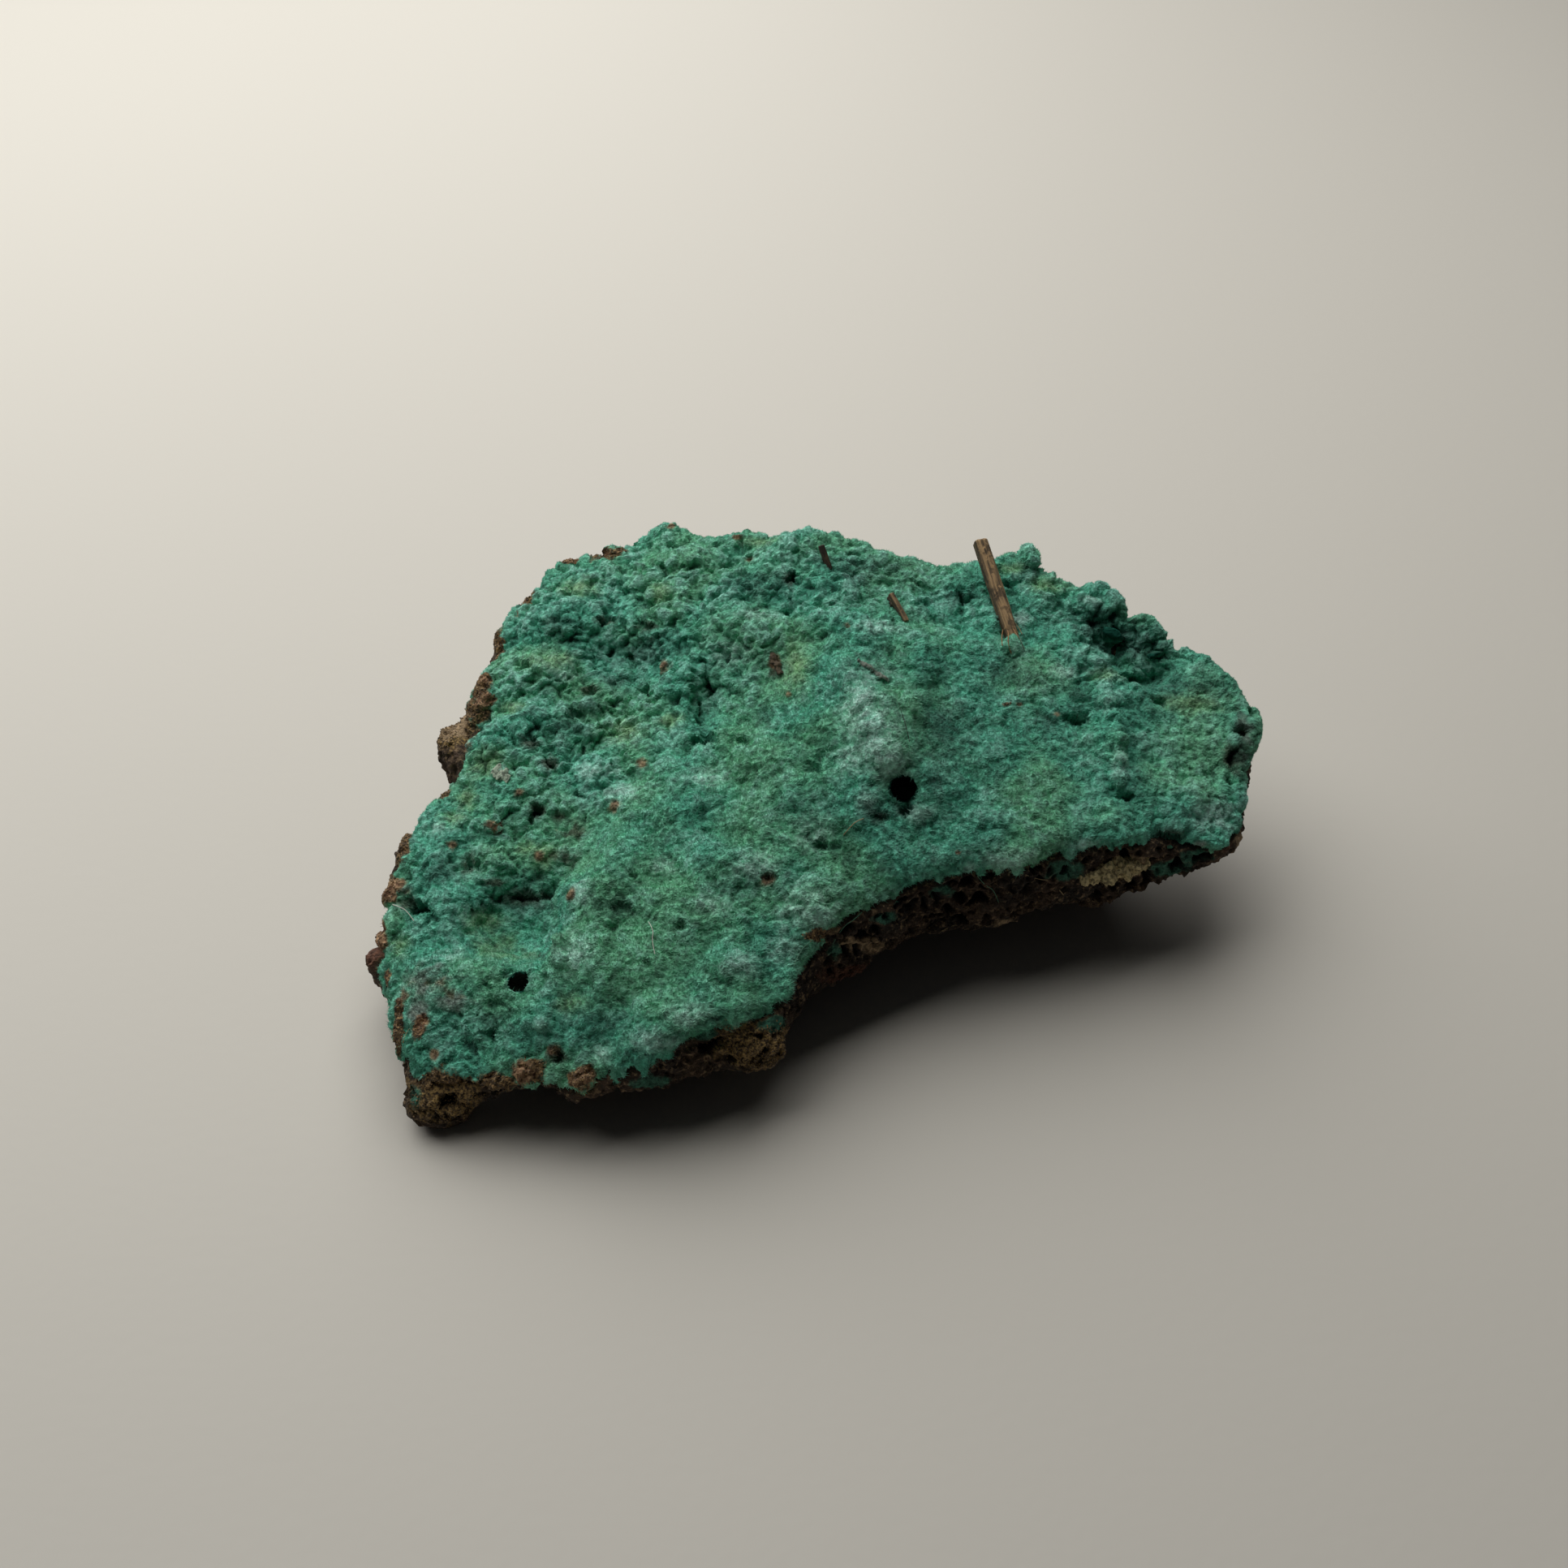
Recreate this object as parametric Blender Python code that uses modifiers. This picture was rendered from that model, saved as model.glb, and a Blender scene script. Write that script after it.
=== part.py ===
"""Brochantite specimen: a green botryoidal crust on a broken piece of brown gossan, with woody splinters in it.

Plan positions and heights are in millimetres, +X right, +Y to the rear, +Z up, on the surface that the stone lies on.
The stone is a lofted block between a relief of the top and a relief of the underside, parted along the crust's base.
"""

import math

import bmesh
import bpy
import numpy as np
from mathutils import Matrix, Vector, noise

MM = 0.001

# Driving dimensions, in millimetres.
CRUST_THICK = 1.9
CRUST_THICK_AT_RIM = 0.8
RIM_BAND = 3.0
PARTING_GAP = 0.32
RIM_ROUNDING = 1.1
ROUNDED_OFF_TOP = 0.8
ROUNDED_OFF_UNDERSIDE = 0.9
LEAST_THICKNESS = 1.2
BLOCK_HEIGHT = 12.0
SKIN_VOXEL = 0.62
PARTING_CELL = 2.9
STONE_TRIANGLES = 6500

# The rim seen from above, clockwise from the front left corner: x, y and the height of the crust there.
RIM = [
    # Left side, from the brown corner block to the rear.
    (-24.2, -20.6, 4.2),
    (-25.6, -18.2, 4.6),
    (-26.4, -14.3, 5.2),
    (-27.6, -11.6, 5.6),
    (-27.4, -8.8, 6.2),
    (-27.6, -6.4, 6.8),
    (-27.1, -3.5, 7.6),
    (-24.6, -0.4, 8.3),
    (-23.9, 2.0, 8.8),
    (-25.4, 4.6, 8.3),
    (-23.7, 7.5, 9.4),
    (-23.2, 12.9, 10.2),
    (-20.4, 18.0, 11.1),
    (-18.2, 20.1, 12.0),
    # Rear, from the high left corner to the rounded right end.
    (-15.7, 19.9, 12.6),
    (-12.8, 21.2, 13.4),
    (-10.1, 21.6, 14.4),
    (-8.9, 19.5, 15.0),
    (-6.0, 18.7, 15.5),
    (-1.0, 18.2, 16.5),
    (3.7, 16.8, 16.1),
    (8.2, 15.9, 15.7),
    (10.6, 16.6, 15.9),
    (14.4, 15.9, 15.7),
    (15.4, 14.2, 15.3),
    (17.8, 13.5, 14.8),
    (20.9, 11.7, 14.3),
    (22.7, 10.3, 13.8),
    (25.2, 9.0, 13.8),
    (26.1, 7.2, 13.0),
    (28.2, 5.2, 12.2),
    (27.5, 2.9, 10.8),
    (26.5, -0.3, 9.6),
    (26.5, -2.2, 9.2),
    (25.9, -4.6, 8.8),
    # Front, from the right end back to the corner block.
    (23.8, -5.9, 9.2),
    (21.4, -5.2, 10.1),
    (15.7, -7.0, 10.7),
    (10.6, -8.3, 10.5),
    (6.0, -9.2, 10.3),
    (1.7, -11.4, 9.8),
    (-0.9, -12.4, 9.1),
    (-1.9, -14.7, 8.3),
    (-2.5, -16.8, 8.0),
    (-4.6, -18.2, 7.9),
    (-8.2, -19.5, 7.8),
    (-11.0, -20.7, 6.8),
    (-15.0, -21.4, 5.4),
    (-20.0, -21.0, 4.9),
]

# Spot heights of the crust inside the rim.
TOP_SPOTS = [
    # Crest that comes down from the rear to the large hole.
    (-0.5, 13.9, 16.3),
    (0.7, 6.7, 16.0),
    (1.9, 1.5, 15.4),
    (4.0, -2.9, 14.0),
    (5.7, -5.0, 12.4),
    # Even face that falls from the crest to the right and the front.
    (5.4, 12.0, 14.6),
    (9.1, 10.7, 14.2),
    (9.1, 1.8, 13.3),
    (11.4, -2.2, 12.1),
    (13.8, -4.9, 11.3),
    (6.6, -7.3, 10.9),
    # Right end: shelf in front of the cavity.
    (15.6, 9.6, 14.4),
    (19.4, 4.6, 12.7),
    (22.4, 3.7, 11.8),
    (23.1, 0.9, 10.8),
    (18.2, -3.5, 10.9),
    (21.6, -2.8, 10.0),
    # Broken ground left of the crest, with a bowl in it.
    (-3.1, 5.4, 13.2),
    (-10.0, 7.4, 12.7),
    (-9.1, 14.3, 14.1),
    (-13.8, 6.7, 10.7),
    (-19.1, 0.7, 9.5),
    (-21.2, 7.0, 10.5),
    (-18.0, 15.0, 12.3),
    (-13.1, 17.3, 13.2),
    # Front apron.
    (-6.1, -5.3, 11.6),
    (-11.0, -7.6, 10.4),
    (-3.6, -10.7, 10.0),
    (1.3, -7.5, 11.0),
    (-6.0, -15.6, 8.6),
    (-13.9, -11.8, 9.3),
    (-13.2, -16.5, 7.6),
    # Low ground at the front left.
    (-18.6, -9.2, 7.3),
    (-20.6, -11.6, 6.9),
    (-22.2, -16.1, 6.5),
    (-18.2, -18.8, 5.8),
    (-24.0, -7.5, 8.0),
    (-22.3, -4.5, 8.7),
]

# Spot heights of the underside, which rises to the right and to the rear.
UNDERSIDE_SPOTS = [
    (-23.6, -19.6, 0.2),
    (-19.0, -20.4, 2.8),
    (-11.0, -20.0, 3.0),
    (-4.6, -17.4, 2.6),
    (-0.9, -12.4, 2.4),
    (2.5, -10.9, 3.4),
    (6.0, -9.0, 4.0),
    (11.0, -7.8, 4.2),
    (15.0, -6.8, 5.2),
    (20.0, -5.4, 4.6),
    (25.0, -4.6, 6.6),
    (27.4, 4.0, 6.8),
    (24.6, 8.0, 8.0),
    (17.0, 12.6, 8.2),
    (8.0, 15.0, 7.6),
    (-1.0, 17.4, 7.4),
    (-10.0, 20.6, 6.6),
    (-18.4, 19.0, 5.0),
    (-22.4, 12.4, 3.8),
    (-24.8, 5.0, 3.2),
    (-26.6, -5.0, 2.6),
    (-26.2, -13.0, 1.8),
    (-14.0, -8.0, 1.4),
    (-6.0, 0.0, 1.1),
    (-12.6, 11.0, 0.5),
    (-6.0, 8.0, 1.2),
    (4.0, 6.0, 1.5),
    (13.0, 2.6, 0.8),
    (20.0, 4.0, 3.8),
]

# Hollows and mounds of the top: x, y, radius along, radius across, turn in degrees, rise.
RELIEF = [
    ("cavity behind the right shelf", 20.2, 8.4, 3.0, 1.7, -22, -3.2),
    ("pit under the ledge", -16.8, -6.4, 1.9, 1.1, 30, -2.3),
    ("hollow below the pit", -18.9, -10.2, 2.4, 1.9, 70, -0.9),
    ("cleft left of the crest", -8.1, 5.2, 2.2, 0.6, 76, -2.0),
    ("gash at the left edge", -25.4, -8.6, 1.7, 0.8, 15, -1.6),
    ("vug at the left", -22.6, -5.6, 0.9, 0.8, 0, -1.3),
    ("vug between the brown grains", -18.6, -2.4, 1.0, 0.7, 60, -1.4),
    ("dome at the front left", -21.9, -16.4, 2.8, 2.4, 0, 0.6),
    ("brow above the large hole", 3.0, -1.2, 3.4, 1.5, -62, 0.5),
    ("nodule bank on the right", 17.7, 0.8, 3.6, 0.9, 88, 0.6),
    ("edge of the step", -14.8, -10.4, 4.6, 1.0, 78, 0.8),
    ("low side of the step", -17.2, -11.6, 3.6, 1.0, 78, -0.6),
    ("knob at the rear right", 12.6, 15.0, 1.8, 1.2, 0, 0.9),
    ("shoulder at the rear", -0.8, 15.8, 2.6, 1.4, 10, 0.8),
    ("knoll left of the crest", -5.2, 11.2, 2.0, 1.6, 0, 0.8),
    ("hollow behind the bowl", -5.6, 14.6, 1.4, 0.8, -20, -0.9),
    ("peak at the rear left", -10.2, 20.9, 1.2, 0.9, 20, 0.7),
    ("bank behind the cavity", 20.4, 11.6, 3.6, 1.1, -28, 0.5),
    ("knob at the rear right corner", 24.6, 8.8, 1.6, 1.1, 0, 0.3),
]

# Lobes of matrix that stand out from the block: x, y, z and three radii.
LOBES = [
    ("brown lobe at the front", -4.8, -17.9, 4.7, 2.6, 1.7, 2.2),
    ("corner block", -23.0, -19.4, 1.8, 2.1, 2.0, 2.5),
    ("spur at the left", -24.6, 4.9, 7.6, 1.6, 1.9, 1.4),
    ("upper lump at the left", -27.5, -6.7, 5.9, 1.1, 1.4, 1.1),
    ("lower lump at the left", -27.6, -11.0, 4.4, 1.3, 1.6, 1.5),
    ("hanging lump at the front right", 16.6, -4.6, 4.9, 1.9, 1.6, 1.9),
    ("tip under the front", 10.3, -6.8, 4.4, 2.4, 1.6, 1.3),
    ("rear left lump", -16.8, 19.8, 9.4, 2.4, 1.4, 2.4),
    ("right end lump", 25.6, 0.6, 7.4, 1.2, 2.6, 1.8),
]

# Broad low lobes that reach the ground, where the stone rests on worn flats beside the corner block.
# Each has x, y and two radii.
FEET = [
    ("rear left foot", -12.6, 11.0, 5.6, 4.4),
    ("right foot", 13.0, 2.6, 5.2, 3.6),
]
FOOT_CENTRE_Z = 1.6
FOOT_RADIUS_Z = 2.2

# Where the matrix comes up bare through the crust: x, y, radius.
BARE_SPOTS = [
    ("spur", -25.8, 4.8, 1.9),
    ("upper lump", -28.0, -6.9, 1.3),
    ("lower lump", -28.9, -11.2, 1.7),
]
BARE_RISE = 4.0

# Even ground where the nodules are low: x, y, radius.
CALM_SPOTS = [
    ("face right of the crest", 11.5, -1.0, 6.5),
    ("terrace at the right", 21.6, 4.2, 3.6),
    ("facet left of the crest", -3.0, 5.4, 2.4),
    ("floor of the low ground", -20.2, -11.6, 2.6),
]
CALM_SHARE = 0.7

# Nodules of the crust and knobs of the matrix: spacing and rise.
LARGE_NODULES = (3.3, 1.25)
SMALL_NODULES = (2.0, 0.55)
NODULE_REACH = 0.75
NODULE_GROUND = 0.4
KNOBS = (3.4, 1.3)
BREAKAGE = (2.6, 0.5)

# Holes through the crust: x, y, radius at the mouth, length, lean to the rear in degrees.
HOLES = [
    ("large hole", 4.5, -5.2, 0.85, 6.0, -20),
    ("small hole", -18.5, -14.9, 0.6, 5.0, -15),
]

# Splinters: the foot and the tip in millimetres, width and depth.
LONG_SPLINTER = {"foot": (12.1, 8.2, 13.9), "tip": (10.1, 14.8, 17.4), "width": 1.0, "depth": 0.8}
SHORT_SPLINTER = {"foot": (5.1, 8.9, 15.2), "tip": (4.1, 10.7, 16.1), "width": 0.42, "depth": 0.36}
THORN = {"foot": (0.2, 13.3, 16.1), "tip": (-0.4, 14.4, 17.3), "width": 0.42, "depth": 0.34}
SOCKET_CLEARANCE = 0.3

WOOD_BROWN = (0.09, 0.055, 0.025)
CRUST_GREEN = (0.065, 0.17, 0.12)
GOSSAN_BROWN = (0.06, 0.035, 0.017)


def clear_scene():
    """Empties the scene and returns the collections for the parts and for the cutters."""
    for obj in list(bpy.data.objects):
        bpy.data.objects.remove(obj)
    made = []
    for name in ("brochantite_specimen", "cutters"):
        collection = bpy.data.collections.new(name)
        bpy.context.scene.collection.children.link(collection)
        made.append(collection)
    made[1].hide_render = True
    return made


def thin_plate(spots, slack):
    """A smooth surface near the spot heights, as a function of arrays x and y."""
    plan = np.array([(x, y) for x, y, _ in spots])
    heights = np.array([z for _, _, z in spots])
    count = len(spots)

    def bend(points):
        squared = ((points[:, None, :] - plan[None, :, :]) ** 2).sum(-1)
        return 0.5 * squared * np.log(squared + 1e-9)

    matrix = np.zeros((count + 3, count + 3))
    matrix[:count, :count] = bend(plan) + slack * np.eye(count)
    matrix[:count, count] = matrix[count, :count] = 1.0
    matrix[:count, count + 1 :] = plan
    matrix[count + 1 :, :count] = plan.T
    weights = np.linalg.solve(matrix, np.append(heights, [0.0, 0.0, 0.0]))

    def height(x, y):
        points = np.column_stack([x, y])
        return bend(points) @ weights[:count] + weights[count] + points @ weights[count + 1 :]

    return height


TOP = thin_plate(RIM + TOP_SPOTS, slack=1.5)
UNDERSIDE = thin_plate(UNDERSIDE_SPOTS, slack=4.0)


def smooth_step(low, high, value):
    share = np.clip((value - low) / (high - low), 0.0, 1.0)
    return share * share * (3.0 - 2.0 * share)


def relief_height(x, y):
    """Height of the crust without its nodules: the spot surface with the named hollows and mounds."""
    height = TOP(x, y)
    for _, cx, cy, along, across, turn, rise in RELIEF:
        angle = math.radians(turn)
        u = (x - cx) * math.cos(angle) + (y - cy) * math.sin(angle)
        v = (y - cy) * math.cos(angle) - (x - cx) * math.sin(angle)
        height = height + rise * np.exp(-((u / along) ** 2) - (v / across) ** 2)
    return height


def rim_distance(x, y):
    """Distance in plan from each point to the rim, whichever side it is on."""
    points = np.column_stack([x, y])
    corners = np.array([(a, b) for a, b, _ in RIM])
    nearest = np.full(len(points), np.inf)
    for start, end in zip(corners, np.roll(corners, -1, axis=0)):
        side = end - start
        share = np.clip((points - start) @ side / (side @ side), 0.0, 1.0)
        foot = start + share[:, None] * side
        nearest = np.minimum(nearest, np.linalg.norm(points - foot, axis=1))
    return nearest


def parting_height(x, y):
    """Height of the crust's base, which comes up to the surface where the matrix is bare."""
    inside = smooth_step(0.0, RIM_BAND, rim_distance(x, y))
    thick = CRUST_THICK_AT_RIM + (CRUST_THICK - CRUST_THICK_AT_RIM) * inside
    base = relief_height(x, y) - thick
    for _, cx, cy, radius in BARE_SPOTS:
        away = np.hypot(x - cx, y - cy)
        base = base + BARE_RISE * smooth_step(radius + 0.9, radius, away)
    return base


def positions(obj):
    """The object's vertices in millimetres."""
    flat = np.empty(len(obj.data.vertices) * 3, np.float32)
    obj.data.vertices.foreach_get("co", flat)
    return flat.reshape(-1, 3).astype(float) / MM


def set_positions(obj, points):
    obj.data.vertices.foreach_set("co", (points * MM).astype(np.float32).ravel())
    obj.data.update()


def bake(obj):
    """Applies the object's modifiers to its mesh."""
    graph = bpy.context.evaluated_depsgraph_get()
    mesh = bpy.data.meshes.new_from_object(obj.evaluated_get(graph))
    obj.modifiers.clear()
    old = obj.data
    obj.data = mesh
    bpy.data.meshes.remove(old)
    return obj


def remesh(obj, voxel):
    modifier = obj.modifiers.new("skin", "REMESH")
    modifier.mode = "VOXEL"
    modifier.voxel_size = voxel * MM
    return bake(obj)


def rim_prism(collection):
    """The rim drawn as a flat curve and extruded, made a welded mesh that stands on z = 0."""
    curve = bpy.data.curves.new("rim", "CURVE")
    curve.dimensions = "2D"
    curve.fill_mode = "BOTH"
    curve.extrude = BLOCK_HEIGHT / 2 * MM
    spline = curve.splines.new("POLY")
    spline.points.add(len(RIM) - 1)
    for point, (x, y, _) in zip(spline.points, RIM):
        point.co = (x * MM, y * MM, 0.0, 1.0)
    spline.use_cyclic_u = True
    outline = bpy.data.objects.new("rim_outline", curve)
    collection.objects.link(outline)
    bpy.context.view_layer.update()
    graph = bpy.context.evaluated_depsgraph_get()
    mesh = bpy.data.meshes.new_from_object(outline.evaluated_get(graph))
    bpy.data.objects.remove(outline)
    work = bmesh.new()
    work.from_mesh(mesh)
    bmesh.ops.remove_doubles(work, verts=work.verts, dist=0.00001)
    bmesh.ops.translate(work, verts=work.verts, vec=(0, 0, BLOCK_HEIGHT / 2 * MM))
    bmesh.ops.recalc_face_normals(work, faces=work.faces)
    work.to_mesh(mesh)
    work.free()
    block = bpy.data.objects.new("stone", mesh)
    collection.objects.link(block)
    return block


def loft_block(block):
    """Moves the prism's vertices to lie between the underside and the top, with a rounded rim."""
    points = positions(block)
    share = np.clip(points[:, 2] / BLOCK_HEIGHT, 0.0, 1.0)
    x, y = points[:, 0], points[:, 1]
    depth = np.clip(rim_distance(x, y), 0.0, RIM_ROUNDING)
    drop = RIM_ROUNDING - np.sqrt(RIM_ROUNDING**2 - (RIM_ROUNDING - depth) ** 2)
    top = relief_height(x, y) - ROUNDED_OFF_TOP * drop
    under = np.minimum(UNDERSIDE(x, y) + ROUNDED_OFF_UNDERSIDE * drop, top - LEAST_THICKNESS)
    points[:, 2] = under + share * (top - under)
    set_positions(block, points)


def add_lobes(block):
    """Adds rounded lobes and feet to the block as overlapping balls. The next remesh joins them to it."""
    feet = [(name, x, y, FOOT_CENTRE_Z, rx, ry, FOOT_RADIUS_Z) for name, x, y, rx, ry in FEET]
    work = bmesh.new()
    work.from_mesh(block.data)
    for _, x, y, z, rx, ry, rz in LOBES + feet:
        place = Matrix.Translation(Vector((x, y, z)) * MM) @ Matrix.Diagonal((rx, ry, rz, 1.0))
        bmesh.ops.create_icosphere(work, subdivisions=3, radius=MM, matrix=place)
    work.to_mesh(block.data)
    work.free()


def nodule(point, size):
    """Rise of a rounded nodule at a point, from 0 in the groove between nodules to 1 on the crown."""
    distances, _ = noise.voronoi(point / size)
    return max(0.0, 1.0 - (distances[0] / NODULE_REACH) ** 2)


def calm(x, y):
    """How much of the nodules' rise is left at each point: 1 on lumpy ground, less on the even patches."""
    left = np.ones(len(x))
    for _, cx, cy, radius in CALM_SPOTS:
        away = np.hypot(x - cx, y - cy)
        left = np.minimum(left, 1.0 - CALM_SHARE * smooth_step(radius * 1.2, radius * 0.6, away))
    return left


def roughen(block):
    """Raises nodules on the crust, and breaks the matrix into knobs, ledges and sockets."""
    points = positions(block)
    normals = np.array([v.normal for v in block.data.vertices])
    above = points[:, 2] - parting_height(points[:, 0], points[:, 1])
    crust_share = smooth_step(-0.6, 0.6, above)
    lumpy = calm(points[:, 0], points[:, 1])
    moves = np.empty(len(points))
    for i, point in enumerate(points):
        at = Vector(point)
        lumps = LARGE_NODULES[1] * (nodule(at, LARGE_NODULES[0]) - NODULE_GROUND)
        lumps += SMALL_NODULES[1] * (nodule(at + Vector((31, 7, 3)), SMALL_NODULES[0]) - NODULE_GROUND)
        distances, _ = noise.voronoi(at / KNOBS[0])
        knobs = KNOBS[1] * (distances[1] - distances[0] - NODULE_GROUND)
        broken = knobs + BREAKAGE[1] * noise.fractal(at / BREAKAGE[0], 1.0, 2.0, 2)
        moves[i] = crust_share[i] * lumpy[i] * lumps + (1.0 - crust_share[i]) * broken
    set_positions(block, points + normals * moves[:, None])


def boolean(obj, cutter, operation):
    """Cuts or trims a solid with another one and applies the result."""
    modifier = obj.modifiers.new(cutter.name, "BOOLEAN")
    modifier.operation = operation
    modifier.object = cutter
    modifier.solver = "EXACT"
    return bake(obj)


def cutter_object(name, mesh, collection):
    cutter = bpy.data.objects.new(name, mesh)
    collection.objects.link(cutter)
    cutter.hide_render = True
    cutter.display_type = "WIRE"
    return cutter


def ground_block(collection):
    """The space below the surface that the stone lies on, which wears its feet flat."""
    work = bmesh.new()
    place = Matrix.Translation((0, 0, -5 * MM)) @ Matrix.Diagonal((80, 80, 10, 1.0))
    bmesh.ops.create_cube(work, size=MM, matrix=place)
    mesh = bpy.data.meshes.new("ground")
    work.to_mesh(mesh)
    work.free()
    return cutter_object("ground", mesh, collection)


def parting_block(name, offset, far_z, collection):
    """The space above or below the crust's base: a displaced grid, extruded to a far plane."""
    width, depth = 64.0, 52.0
    work = bmesh.new()
    bmesh.ops.create_grid(
        work,
        x_segments=round(width / PARTING_CELL),
        y_segments=round(depth / PARTING_CELL),
        size=0.5,
        matrix=Matrix.Diagonal((width, depth, 1.0, 1.0)),
    )
    x = np.array([v.co.x for v in work.verts])
    y = np.array([v.co.y for v in work.verts])
    for vertex, z in zip(list(work.verts), parting_height(x, y) + offset):
        vertex.co.z = z
    swept = bmesh.ops.extrude_face_region(work, geom=list(work.faces))
    for item in swept["geom"]:
        if isinstance(item, bmesh.types.BMVert):
            item.co.z = far_z
    bmesh.ops.triangulate(work, faces=work.faces)
    bmesh.ops.recalc_face_normals(work, faces=work.faces)
    bmesh.ops.scale(work, vec=(MM, MM, MM), verts=work.verts)
    mesh = bpy.data.meshes.new(name)
    work.to_mesh(mesh)
    work.free()
    return cutter_object(name, mesh, collection)


def hole_cutter(name, x, y, radius, length, lean, collection):
    """A tapering bore that starts above the crust and goes down through it."""
    mouth = float(relief_height(np.array([x]), np.array([y]))[0])
    turn = Matrix.Rotation(math.radians(lean), 4, "X")
    centre = Vector((x, y, mouth)) + turn @ Vector((0, 0, 1.2 - length / 2))
    work = bmesh.new()
    bmesh.ops.create_cone(
        work,
        cap_ends=True,
        segments=9,
        radius1=radius * 0.7 * MM,
        radius2=radius * 1.1 * MM,
        depth=length * MM,
        matrix=Matrix.Translation(centre * MM) @ turn,
    )
    mesh = bpy.data.meshes.new(name)
    work.to_mesh(mesh)
    work.free()
    return cutter_object(name, mesh, collection)


def keep_largest_shell(obj):
    """Deletes crumbs that a cut has left loose, so that the piece is one body."""
    work = bmesh.new()
    work.from_mesh(obj.data)
    left = set(work.verts)
    shells = []
    while left:
        stack = [left.pop()]
        shell = set(stack)
        while stack:
            for edge in stack.pop().link_edges:
                for vertex in edge.verts:
                    if vertex in left:
                        left.discard(vertex)
                        shell.add(vertex)
                        stack.append(vertex)
        shells.append(shell)
    shells.sort(key=len)
    for shell in shells[:-1]:
        bmesh.ops.delete(work, geom=list(shell), context="VERTS")
    work.to_mesh(obj.data)
    work.free()


def splinter_frame(size):
    """Length and placing of a splinter that runs from its foot to its tip."""
    foot, tip = Vector(size["foot"]), Vector(size["tip"])
    run = tip - foot
    turn = run.to_track_quat("Z", "Y").to_matrix().to_4x4()
    return run.length, Matrix.Translation((foot + tip) / 2 * MM) @ turn


def splinter_mesh(name, size, grow=0.0, seed=0.0):
    """A slender squared stick: a stretched cube with rings along it, worn unevenly, with bevelled corners."""
    length, _ = splinter_frame(size)
    width, depth = size["width"] + 2 * grow, size["depth"] + 2 * grow
    work = bmesh.new()
    bmesh.ops.create_cube(work, size=1.0)
    long_edges = [e for e in work.edges if abs(e.verts[0].co.z - e.verts[1].co.z) > 0.5]
    bmesh.ops.subdivide_edges(work, edges=long_edges, cuts=4 if grow == 0.0 else 0)
    for vertex in work.verts:
        along = vertex.co.z + 0.5
        taper = 1.0 if grow else 0.86 + 0.2 * along - 0.12 * along**2
        wear = 0.0 if grow else 0.07 * noise.noise(Vector((vertex.co.x * 3, seed, along * 5)))
        vertex.co.x *= width * (taper + wear)
        vertex.co.y *= depth * (taper - wear)
        vertex.co.z *= length + 2 * grow
    if grow == 0.0:
        corners = [e for e in work.edges if e.calc_face_angle(0.0) > math.radians(45)]
        bmesh.ops.bevel(work, geom=corners, offset=0.16 * depth, segments=1, affect="EDGES")
    bmesh.ops.scale(work, vec=(MM, MM, MM), verts=work.verts)
    mesh = bpy.data.meshes.new(name)
    work.to_mesh(mesh)
    work.free()
    return mesh


def plain_material(name, colour, roughness):
    material = bpy.data.materials.new(name)
    material.use_nodes = True
    shader = material.node_tree.nodes["Principled BSDF"]
    shader.inputs["Base Color"].default_value = (*colour, 1.0)
    shader.inputs["Roughness"].default_value = roughness
    shader.inputs["Metallic"].default_value = 0.0
    return material


def make_stone(cutters):
    """The whole stone before it is parted: lofted, lobed, roughened, thinned out and stood on the ground."""
    block = remesh(rim_prism(cutters), SKIN_VOXEL)
    loft_block(block)
    add_lobes(block)
    remesh(block, SKIN_VOXEL)
    roughen(block)
    remesh(block, SKIN_VOXEL)
    thin = block.modifiers.new("thin", "DECIMATE")
    thin.ratio = STONE_TRIANGLES / (2 * len(block.data.polygons))
    thin.use_collapse_triangulate = True
    bake(block)
    boolean(block, ground_block(cutters), "DIFFERENCE")
    return block


def main():
    parts, cutters = clear_scene()
    stone = make_stone(cutters)

    crust = bpy.data.objects.new("brochantite_crust", stone.data.copy())
    matrix = bpy.data.objects.new("gossan_matrix", stone.data.copy())
    parts.objects.link(crust)
    parts.objects.link(matrix)
    bpy.data.objects.remove(stone)
    boolean(crust, parting_block("space_above", 0.0, 40.0, cutters), "INTERSECT")
    boolean(matrix, parting_block("space_below", -PARTING_GAP, -12.0, cutters), "INTERSECT")
    for name, x, y, radius, length, lean in HOLES:
        bore = hole_cutter(name.replace(" ", "_"), x, y, radius, length, lean, cutters)
        boolean(crust, bore, "DIFFERENCE")
        boolean(matrix, bore, "DIFFERENCE")

    wood = plain_material("weathered_wood", WOOD_BROWN, 0.85)
    sticks = (("long_splinter", LONG_SPLINTER), ("short_splinter", SHORT_SPLINTER), ("thorn", THORN))
    for number, (name, size) in enumerate(sticks):
        stick = bpy.data.objects.new(name, splinter_mesh(name, size, seed=number * 3.7))
        parts.objects.link(stick)
        _, stick.matrix_world = splinter_frame(size)
        stick.data.materials.append(wood)
        socket = cutter_object(name + "_socket", splinter_mesh(name, size, SOCKET_CLEARANCE), cutters)
        socket.matrix_world = stick.matrix_world
        bpy.context.view_layer.update()
        boolean(crust, socket, "DIFFERENCE")

    for obj in (crust, matrix):
        keep_largest_shell(obj)
        obj.data.materials.clear()
    crust.data.materials.append(plain_material("green_crust", CRUST_GREEN, 0.95))
    matrix.data.materials.append(plain_material("brown_gossan", GOSSAN_BROWN, 0.95))


main()
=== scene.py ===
import math

import bmesh
import bpy
import numpy as np
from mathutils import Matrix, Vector, noise
from mathutils.bvhtree import BVHTree


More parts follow.
